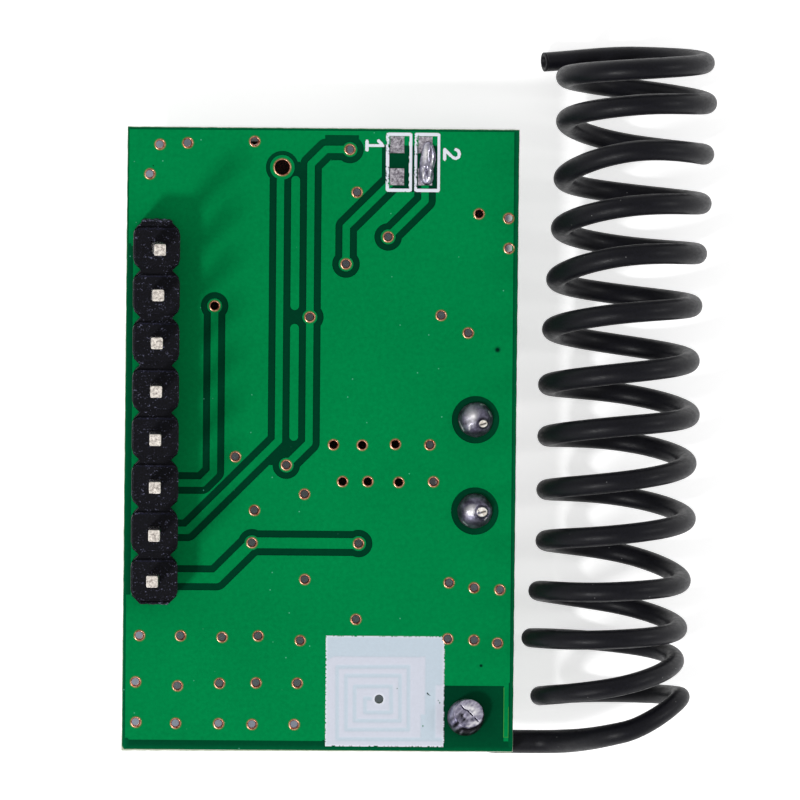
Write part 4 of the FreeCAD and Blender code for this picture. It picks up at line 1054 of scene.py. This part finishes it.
def moulding_finish(name, dark, pale, first_fleck):
    """Black resin with faint scuffs; pale flecks where a noise passes first_fleck, partly scuffs and
    partly painted glints; and a bluish line across each cell, a painted highlight on its groove's
    bevel, drawn where the place is close to a multiple of the cells' pitch."""
    made = finish_of(name, dark, Roughness=0.5, Specular_IOR_Level=0.12)
    place = place_of(made)
    scuffs = grain(made, stretched(made, place, 1.0, 2.0, 1.0), 0.5, 5.0, 0.75)
    fine = grain(made, place, 0.09, 3.0, 0.7)
    tone = blended(made, between(made, fine, 0.4, 0.75), dark, pale)
    flecks = between(made, sums(made, "MULTIPLY", scuffs, fine), first_fleck, first_fleck + 0.05)
    tone = blended(made, sums(made, "MULTIPLY", flecks, 0.8), tone, (112, 114, 140))
    # A painted highlight on the bevel of the groove across each cell.
    from_line = sums(made, "PINGPONG", sums(made, "SUBTRACT", part_of_place(made, place, "Y"),
                                            pin_pitch / 2 + cell_line), pin_pitch / 2)
    line = sums(made, "MULTIPLY", between(made, from_line, 0.05, 0.02),
                between(made, part_of_place(made, place, "Z"), housing_high[2] - 0.02,
                        housing_high[2] - 0.01))
    broken_groove_highlight = sums(made, "MULTIPLY", line, between(made, fine, 0.35, 0.65, 0.0, 0.55))
    wire_in(made, "Base Color", blended(made, broken_groove_highlight, tone, (36, 38, 66)))
    bumped(made, sums(made, "ADD", fine, scuffs), 0.3, 0.02)
    return made


def softened(name, source, corner, width, finish, edge_finish):
    """A copy of a CAD piece whose doubled points are merged. Its upright corners are rounded by
    one width and then every sharp edge by another."""
    shape = bmesh.new()
    shape.from_mesh(nodes[source].data)
    bmesh.ops.remove_doubles(shape, verts=shape.verts, dist=2e-6)
    bmesh.ops.dissolve_limit(shape, angle_limit=math.radians(1.0), verts=shape.verts, edges=shape.edges)
    upright = [edge for edge in shape.edges if edge.is_manifold and edge.calc_face_angle_signed() > 0.3
               and abs(edge.verts[0].co.z - edge.verts[1].co.z) > edge.calc_length() * 0.9]
    bmesh.ops.bevel(shape, geom=upright, offset=corner * mm, segments=4, profile=0.5, affect="EDGES",
                    clamp_overlap=False)
    sharp = [edge for edge in shape.edges if edge.is_manifold and edge.calc_face_angle() > 0.5]
    bmesh.ops.bevel(shape, geom=sharp, offset=width * mm, segments=3, profile=0.6, affect="EDGES",
                    clamp_overlap=True, material=1)
    mesh = bpy.data.meshes.new(name)
    shape.to_mesh(mesh)
    shape.free()
    mesh.materials.append(finish)
    mesh.materials.append(edge_finish)
    piece = bpy.data.objects.new(name, mesh)
    bpy.context.scene.collection.objects.link(piece)
    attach(piece, "root")
    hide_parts(source)
    return mesh


moulding = moulding_finish("black moulding", (7, 7, 11), (20, 20, 32), 0.33)
# Painted edge highlight: this finish goes on the faces that the second bevel makes.
edge_highlight = moulding_finish("moulding with painted edge highlight", (18, 16, 30), (44, 40, 62), 0.235)
housing = softened("header_moulding", "header_housing", 0.24, 0.07, moulding, edge_highlight)
corners = np.empty(len(housing.vertices) * 3, np.float32)
housing.vertices.foreach_get("co", corners)
corners = corners.reshape(-1, 3)
corners[:, 1] = np.clip(corners[:, 1], stub_ends[0] * mm, stub_ends[1] * mm)
housing.vertices.foreach_set("co", corners.ravel())
torn = moulding_finish("torn neck", (12, 12, 18), (40, 40, 54), 0.27)
x, z, cell_x, cell_z = grid_over((-neck_half_width, neck_foot, neck_half_width, neck_top), neck_step)
for name, end, seed in (("lower_broken_neck", stub_ends[0], 41),
                        ("upper_broken_neck", stub_ends[1], 42)):
    away = np.sign(end)
    from_side = np.minimum(neck_half_width - np.abs(x), np.minimum(z - neck_foot, neck_top - z))
    tear = (0.05 * lumpy(x, z, 0.8, seed) + 0.04 * lumpy(x, z, 0.25, seed + 5) + 0.03) * np.clip(
        from_side / 0.08, 0, 1)
    outward, inward = end + away * (0.02 + tear), end - away * 0.05
    points, faces, used = sheet(x, z, outward if away > 0 else inward, inward if away > 0 else outward,
                                np.ones(cell_x.shape, bool))
    add_piece(name, points[:, [0, 2, 1]], faces[:, ::-1], torn)


# Pins: square drawn wire, tinned, pushed through the moulding. The upper ends were sheared, so
# each is dented and burred in its own way, and the row leans a little towards its top.

pin_side = 0.31
pin_top = 8.54
pin_foot = -3.0
pin_leans = [0.13, 0.05, 0.0, -0.025, -0.05, -0.06, -0.08, -0.17]
pin_nods = [-0.03, 0.085, 0.075, 0.03, 0.0, 0.0, -0.02, 0.075]


def pin_finish():
    """Drawn sides like a mirror; a sheared end that is matt, pale and pitted."""
    made = finish_of("tinned pin", (214, 208, 204), Metallic=1.0)
    place = place_of(made)
    drawn = grain(made, stretched(made, place, 1.0, 1.0, 0.2), 0.2, 3.0)
    sheared = between(made, part_of_place(made, place, "Z"), 8.38, 8.44)
    pitted = grain(made, place, 0.13, 4.0, 0.7)
    end_tone = blended(made, between(made, pitted, 0.36, 0.56), (150, 140, 134), (248, 240, 230))
    side_tone = blended(made, between(made, drawn, 0.35, 0.65), (196, 192, 190), (228, 224, 220))
    wire_in(made, "Base Color", blended(made, sheared, side_tone, end_tone))
    wire_in(made, "Metallic", between(made, sheared, 0.0, 1.0, 1.0, 0.15))
    wire_in(made, "Roughness", between(made, sheared, 0.0, 1.0, 0.16, 0.55))
    bumped(made, sums(made, "MULTIPLY", pitted, sheared), 0.4, 0.02)
    return made


pin_metal = pin_finish()


def pin_points(number):
    """A rounded square, cos and sin flattened by a power, carried up the pin: it narrows to the
    tail, leans as it rises, and its end closes in rings whose height is dented by noise."""
    turn = np.linspace(0, 2 * np.pi, 40, endpoint=False)
    square_x = np.sign(np.cos(turn)) * np.abs(np.cos(turn)) ** 0.24
    square_y = np.sign(np.sin(turn)) * np.abs(np.sin(turn)) ** 0.24
    level = np.array([pin_foot, pin_foot, pin_foot + 0.35, -1.0, 0.0, 2.5, 5.0, 7.5, 8.3, 8.42, 8.47,
                      8.49, 8.5, 8.5, 8.5, 8.5, 8.5])
    width = np.array([0.05, 0.62, 1.0, 1.0, 1.0, 1.0, 1.0, 1.0, 1.0, 1.0, 0.985, 0.94, 0.8, 0.6, 0.4,
                      0.2, 0.03])
    dx = pin_side * width[:, None] * square_x
    dy = pin_side * width[:, None] * square_y
    end = np.clip((level - 8.3) / 0.16, 0, 1)[:, None]
    dents = lumpy(dx, dy, 0.35, number) * 0.09 * end
    burr = 0.05 * end * np.maximum(0, -dy / pin_side) * np.sin(3 * dx / pin_side + number)
    dx = dx * (1 + 0.05 * end * lumpy(dx, dy, 0.5, number + 20))
    z = np.minimum(level[:, None] + dents + burr, pin_top)
    bent = np.clip(level / pin_top, 0, 1)[:, None] ** 1.5
    middle = ((cell_count + 1) / 2 - number) * pin_pitch
    return np.stack([dx + pin_leans[number - 1] * bent,
                     middle + dy + pin_nods[number - 1] * bent, z], -1)


for number in range(1, cell_count + 1):
    rings = pin_points(number)
    faces = fan_closed(grid_faces(*rings.shape[:2], False, True), *rings.shape[:2])
    pin = add_piece("pin_" + str(number), rings.reshape(-1, 3), faces, pin_metal)
    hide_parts("header_pin_" + str(number))


# Component side: copper under the mask with its tracks, tinned pads under every foot, and white
# outlines. None of it shows in the photograph, so it is laid out as such a board usually is.

track_width = 0.36
track_gap = 0.26
component_step = 0.15
outline_step = 0.09
pour_inset = 0.35
header_clearance = 1.15
component_face = board_low[2]
component_tracks = [
    [(10.33, 14.14), (9.65, 14.115)], [(10.165, 8.0), (10.165, 9.7), (9.65, 10.305)],
    [(12.415, 9.47), (10.9, 10.98), (10.3, 11.575), (9.65, 11.575)], [(8.25, 5.14), (7.0, 6.4)],
    [(7.05, -2.81), (7.05, -1.2), (8.3, 0.05), (9.365, 0.05)],
    [(5.24, -6.99), (6.0, -6.63), (7.4, -6.63)],
    [(10.96, -6.99), (10.635, -6.6), (10.635, -5.55)], [(9.0, -6.63), (9.365, -6.2), (9.365, -5.55)],
    [(0.0, 8.89), (1.5, 8.9)], [(0.0, 6.35), (1.3, 6.35), (1.95, 6.95)],
    [(3.1, 8.9), (4.05, 9.8), (4.05, 10.3)],
    [(16.77, -16.29), (15.2, -14.7), (13.4, -12.9), (13.4, -11.2)],
    [(13.4, -9.7), (12.9, -9.2), (12.9, -7.2)],
    [(17.18, -0.3), (16.4, 0.05), (13.175, 0.05)], [(17.18, -5.2), (16.8, -5.55), (13.175, -5.55)],
    [(8.6, 1.17), (8.6, 3.2), (10.5, 4.8)], [(10.2, 1.17), (11.6, 1.17)], [(10.5, 6.35), (10.165, 8.0)],
    [(13.2, 1.17), (13.3, 5.2)], [(13.3, 6.8), (13.1, 8.3), (13.1, 9.0)],
    [(14.7, 9.0), (16.5, 9.8), (17.28, 9.8)],
    [(12.2, -13.03), (13.4, -12.4)], [(0.0, -1.27), (2.2, -1.27), (3.73, -0.5)]]
passives_along_x = [(8.2, -6.63), (12.9, -6.43), (9.4, 1.17), (12.4, 1.17), (2.3, 8.9), (13.9, 9.0),
                    (11.4, -13.03)]
passives_along_y = [(7.0, 7.2), (13.3, 6.0), (13.4, -10.43), (10.5, 5.57)]
foot_steps = (-1.905, -0.635, 0.635, 1.905)
pads_by_middle = ([(11.27 + off, y, 0.3, 0.62) for off in foot_steps for y in (-5.5, 0.0)]
                  + [(x, 12.21 + off, 0.62, 0.3) for off in foot_steps for x in (4.1, 9.62)]
                  + [(1.95, 5.05, 0.45, 0.35), (1.95, 6.95, 0.45, 0.35), (4.35, 6.0, 0.45, 0.35),
                     (3.73, -0.5, 0.45, 1.1), (3.73, 3.4, 0.45, 1.1), (17.28, 9.75, 0.75, 0.5),
                     (17.28, 11.73, 0.75, 0.5)]
                  + [(x + side * 0.78, y, 0.42, 0.48) for x, y in passives_along_x for side in (-1, 1)]
                  + [(x, y + side * 0.78, 0.48, 0.42) for x, y in passives_along_y for side in (-1, 1)])
component_pads = [(x - half_x, y - half_y, x + half_x, y + half_y)
                  for x, y, half_x, half_y in pads_by_middle]
outline_width = 0.15
round_turn = np.linspace(0, 2 * np.pi, 25)
outlines = ([[(8.6, -4.75), (8.6, -3.3), (8.85, -3.05), (8.85, -2.45), (8.6, -2.2), (8.6, -0.75)],
             [(13.94, -4.75), (13.94, -0.75)], [(4.95, 9.54), (8.77, 9.54)],
             [(4.95, 14.88), (6.4, 14.88), (6.6, 14.7), (7.1, 14.7), (7.3, 14.88), (8.77, 14.88)],
             [(2.45, 7.68), (3.85, 7.68)], [(2.45, 4.32), (3.85, 4.32)],
             [(3.0, -0.95), (2.2, -0.95), (1.34, -0.1), (1.34, 3.0), (2.2, 3.85), (3.0, 3.85)],
             [(4.46, -0.95), (6.12, -0.95), (6.12, 3.85), (4.46, 3.85)],
             [(17.2, 3.1), (16.2, 3.08), (15.2, 2.3), (14.84, 1.0), (14.84, -6.5), (15.2, -7.8),
              (16.2, -8.58), (17.2, -8.6)],
             [(-1.1, 10.4), (1.32, 10.4), (1.32, -10.4), (-1.1, -10.4)], [(-1.1, 7.62), (1.32, 7.62)],
             [(16.3, 9.1), (16.3, 12.4), (18.26, 12.4), (18.26, 9.1), (16.3, 9.1)]]
            + [[(x - 0.45, y + side), (x + 0.45, y + side)] for x, y in passives_along_x
               for side in (-0.66, 0.66)]
            + [[(x + side, y - 0.45), (x + side, y + 0.45)] for x, y in passives_along_y
               for side in (-0.66, 0.66)]
            + [[(2.3 - wide, 10.0 + high) for wide, high in stroke] for stroke in one_strokes]
            + [list(zip(16.77 + 1.45 * np.cos(round_turn), -16.2 + 1.3 * np.sin(round_turn)))])
pin_one_dots = [(8.35, -5.3), (4.5, 9.4)]


def nearest_of(x, y, measure, shapes):
    return np.min([measure(x, y, shape) for shape in shapes], axis=0)


def off_holes(x, y):
    """Distance to the wall of the nearest hole, negative inside a hole."""
    return nearest_of(x, y, lambda x, y, hole: np.hypot(x - hole[0], y - hole[1]) - hole[2], holes)


def off_component_copper(x, y):
    """Negative on copper: the pour less a gap round every track, pad and pin, plus the tracks."""
    off_tracks = nearest_of(x, y, to_line, component_tracks) - track_width / 2
    pour = from_box(x, y, (board_low[0] + pour_inset, board_low[1] + pour_inset,
                           board_high[0] - pour_inset, board_high[1] - pour_inset))
    off_pads = nearest_of(x, y, from_box, component_pads)
    off_pins = to_line(x, y, [(0.0, -8.89), (0.0, 8.89)]) - header_clearance
    pour = np.max([pour, track_gap - off_tracks, track_gap - off_pads, -off_pins], axis=0)
    return np.maximum(np.minimum(pour, off_tracks), 0.05 - off_holes(x, y))


def off_outlines(x, y):
    """Negative on ink: within half a line's width of an outline, or on a dot beside pin 1."""
    lines = nearest_of(x, y, to_line, outlines) - outline_width / 2
    dots = nearest_of(x, y, lambda x, y, dot: np.hypot(x - dot[0], y - dot[1]) - 0.22, pin_one_dots)
    return np.max([np.minimum(lines, dots), 0.15 - nearest_of(x, y, from_box, component_pads),
                   0.16 - off_holes(x, y)], axis=0)


def cut_sheet(box, spacing, distance, top, base):
    """A film where distance is negative. Grid points beside its edge are drawn onto the edge,
    along the slope of the distance."""
    x, y, cell_x, cell_y = grid_over(box, spacing)
    away = distance(x, y)
    slope_y, slope_x = np.gradient(away, spacing)
    pull = np.where((away < 0.75 * spacing) & (away > -0.3 * spacing), away, 0.0)
    pull = np.clip(pull / np.maximum(slope_x ** 2 + slope_y ** 2, 0.3), -spacing, spacing)
    keep = distance(cell_x, cell_y) < 0
    return sheet(x - pull * slope_x, y - pull * slope_y, top, base, keep)


whole_board = (*board_low[:2], *board_high[:2])
points, faces, used = cut_sheet(whole_board, component_step, off_component_copper, component_face,
                                component_face - 0.035)
add_piece("component_copper", points, faces, nodes["ground_pour"].data.materials[0],
          False)
points, faces = slabs(component_pads, component_face - 0.05, component_face)
pad_tin = tin_finish("pad tin", (228, 228, 232), (176, 174, 180), 0.3, 0.3, (1.0, 1.0, 1.0))
add_piece("component_pads", points, faces, pad_tin, False)
points, faces, used = cut_sheet(whole_board, outline_step, off_outlines, component_face,
                                component_face - 0.055)
add_piece("component_outlines", points, faces, white_ink, False,
          {"over_copper": np.ones(len(points)), "ink_rim": np.ones(len(points))})


def resin_finish(name, colour, lighter):
    made = finish_of(name, colour, Roughness=0.62, Specular_IOR_Level=0.3)
    place = place_of(made)
    wire_in(made, "Base Color", blended(made, grain(made, place, 0.08, 3.0, 0.7), colour, lighter))
    bumped(made, grain(made, place, 0.06, 2.0), 0.4, 0.02)
    return made


dress(resin_finish("chip resin", (22, 22, 24), (38, 38, 41)), "receiver_chip_body", "decoder_chip_body",
      "regulator_body", "capacitor_base")
dress(tin_finish("tinned leads", (226, 226, 228), (160, 160, 164), 0.3, 0.3, (1.0, 1.0, 1.0)),
      "receiver_chip_leads", "decoder_chip_leads", "regulator_leads", "capacitor_feet",
      "chip_capacitor_ends", "chip_resistor_ends", "chip_inductor_ends")
dress(tin_finish("bright solder cones", (222, 222, 230), (150, 148, 156), 0.2, 0.4, (1.0, 1.0, 1.0)),
      "header_fillets")
dress(tin_finish("drawn steel can", (222, 220, 216), (186, 184, 180), 0.22, 1.6, (1.0, 0.2, 1.0)),
      "crystal_can", "crystal_base")
dress(tin_finish("drawn aluminium", (236, 237, 240), (206, 207, 210), 0.26, 0.8, (1.0, 1.0, 0.3)),
      "capacitor_can")
dress(resin_finish("fired ceramic", (160, 124, 88), (176, 142, 104)), "chip_capacitors")
dress(resin_finish("resistor glaze", (18, 18, 20), (28, 28, 32)), "chip_resistors")
dress(resin_finish("inductor ceramic", (70, 74, 82), (92, 96, 104)), "chip_inductor")


# Stage: a plain pale table top at the level on which the part rests, soft light from the lower
# left, a dim fill from the right, and a camera that looks almost straight down. Seen directly or
# in a reflection, the table glows beside the board and hardly at all below it, where it also
# takes a darker, bluish tone: a painted shadow under the board.

rest_level = cad_box[0][2]
aim = (13.12, 0.727, 0.0)
to_camera = (-0.0187, 0.0284, 1.0)
camera_distance = 1200.0
sensor_width = 36.0
table_colour = (238, 238, 238)
frame_width = 42.9
picture_lean = math.radians(0.46)
table_glow = 0.62
glow_in_board_shadow = 0.05
under_board_shadow_tone = (146, 151, 170)

table = finish_of("pale table", table_colour, Roughness=0.9, Specular_IOR_Level=0.1)
table_place = place_of(table)
table_tone = between(table, grain(table, table_place, 30.0), 0.3, 0.7, 0.985, 1.0)
wire_in(table, "Base Color", step(table, "VectorMath", {0: paint(*table_colour)[:3], 3: table_tone},
                                  operation="SCALE"))
rays = table.node_tree.nodes.new("ShaderNodeLightPath")
direct = sums(table, "MAXIMUM", rays.outputs["Is Camera Ray"],
              sums(table, "MAXIMUM", rays.outputs["Is Glossy Ray"], rays.outputs["Is Transmission Ray"]))
off_x, off_y = [sums(table, "SUBTRACT",
                     sums(table, "ABSOLUTE", sums(table, "SUBTRACT", part_of_place(table, table_place, axis),
                                                  (board_low[side] + board_high[side]) / 2)),
                     (board_high[side] - board_low[side]) / 2) for side, axis in enumerate("XY")]
beside_board = between(table, sums(table, "MAXIMUM", off_x, off_y), -0.4, 0.1)
lit_table = table.node_tree.nodes["Principled BSDF"].inputs["Base Color"].links[0].from_socket
# Painted shadow: below the board the table takes a darker, bluish tone and hardly glows.
wire_in(table, "Base Color", blended(table, beside_board, under_board_shadow_tone, lit_table))
glow = sums(table, "MULTIPLY", direct,
            between(table, beside_board, 0.0, 1.0, glow_in_board_shadow, table_glow))
wire_in(table, "Emission Strength", glow)
table.node_tree.nodes["Principled BSDF"].inputs["Emission Color"].default_value = (1, 1, 1, 1)
reach = np.linspace(-0.9, 0.9, 13)
floor_x, floor_y = np.meshgrid(reach, reach)
floor_points = np.stack([floor_x, floor_y, np.full_like(floor_x, rest_level)], -1).reshape(-1, 3)
floor_mesh = bpy.data.meshes.new("table_top")
floor_mesh.from_pydata(floor_points.tolist(), [], grid_faces(13, 13, False, False).tolist())
floor_mesh.materials.append(table)
floor = bpy.data.objects.new("table_top", floor_mesh)
bpy.context.scene.collection.objects.link(floor)

world = bpy.data.worlds.new("pale room")
world.use_nodes = True
sky = world.node_tree.nodes
height = sky.new("ShaderNodeSeparateXYZ")
direction = sky.new("ShaderNodeTexCoord")
tone = sky.new("ShaderNodeMapRange")
world.node_tree.links.new(direction.outputs["Generated"], height.inputs[0])
world.node_tree.links.new(height.outputs["Z"], tone.inputs["Value"])
tone.inputs["From Min"].default_value = 0.0
tone.inputs["From Max"].default_value = 1.0
tone.inputs["To Min"].default_value = 0.85
tone.inputs["To Max"].default_value = 0.35
world.node_tree.links.new(tone.outputs[0], sky["Background"].inputs["Color"])
bpy.context.scene.world = world


def soft_light(name, direction, distance, size, power):
    """A round lamp that faces the middle of the part from a direction."""
    lamp = bpy.data.lights.new(name, "AREA")
    lamp.shape = "DISK"
    lamp.size = size * mm
    lamp.energy = power
    unit = np.array(direction) / np.linalg.norm(direction)
    spot = (np.array(aim) + unit * distance) * mm
    holder = bpy.data.objects.new(name, lamp)
    holder.location = spot
    holder.rotation_euler = (-Vector(unit)).to_track_quat("-Z", "Y").to_euler()
    bpy.context.scene.collection.objects.link(holder)


soft_light("key", (-0.42, -0.43, 0.80), 500.0, 75.0, 1.05)
soft_light("fill", (0.85, 0.1, 0.5), 400.0, 75.0, 0.22)

lens = bpy.data.cameras.new("camera")
lens.sensor_width = sensor_width
lens.lens = sensor_width * camera_distance / frame_width
lens.clip_end = 10.0
camera = bpy.data.objects.new("camera", lens)
backward = np.array(to_camera) / np.linalg.norm(to_camera)
picture_up = np.array((-math.sin(picture_lean), math.cos(picture_lean), 0.0))
rightward = np.cross(picture_up, backward)
rightward /= np.linalg.norm(rightward)
upward = np.cross(backward, rightward)
turned = np.eye(4)
turned[:3, 0], turned[:3, 1], turned[:3, 2] = rightward, upward, backward
turned[:3, 3] = (np.array(aim) + backward * camera_distance) * mm
camera.matrix_world = Matrix(turned.tolist())
bpy.context.scene.collection.objects.link(camera)
bpy.context.scene.camera = camera
bpy.context.scene.view_settings.view_transform = "Standard"
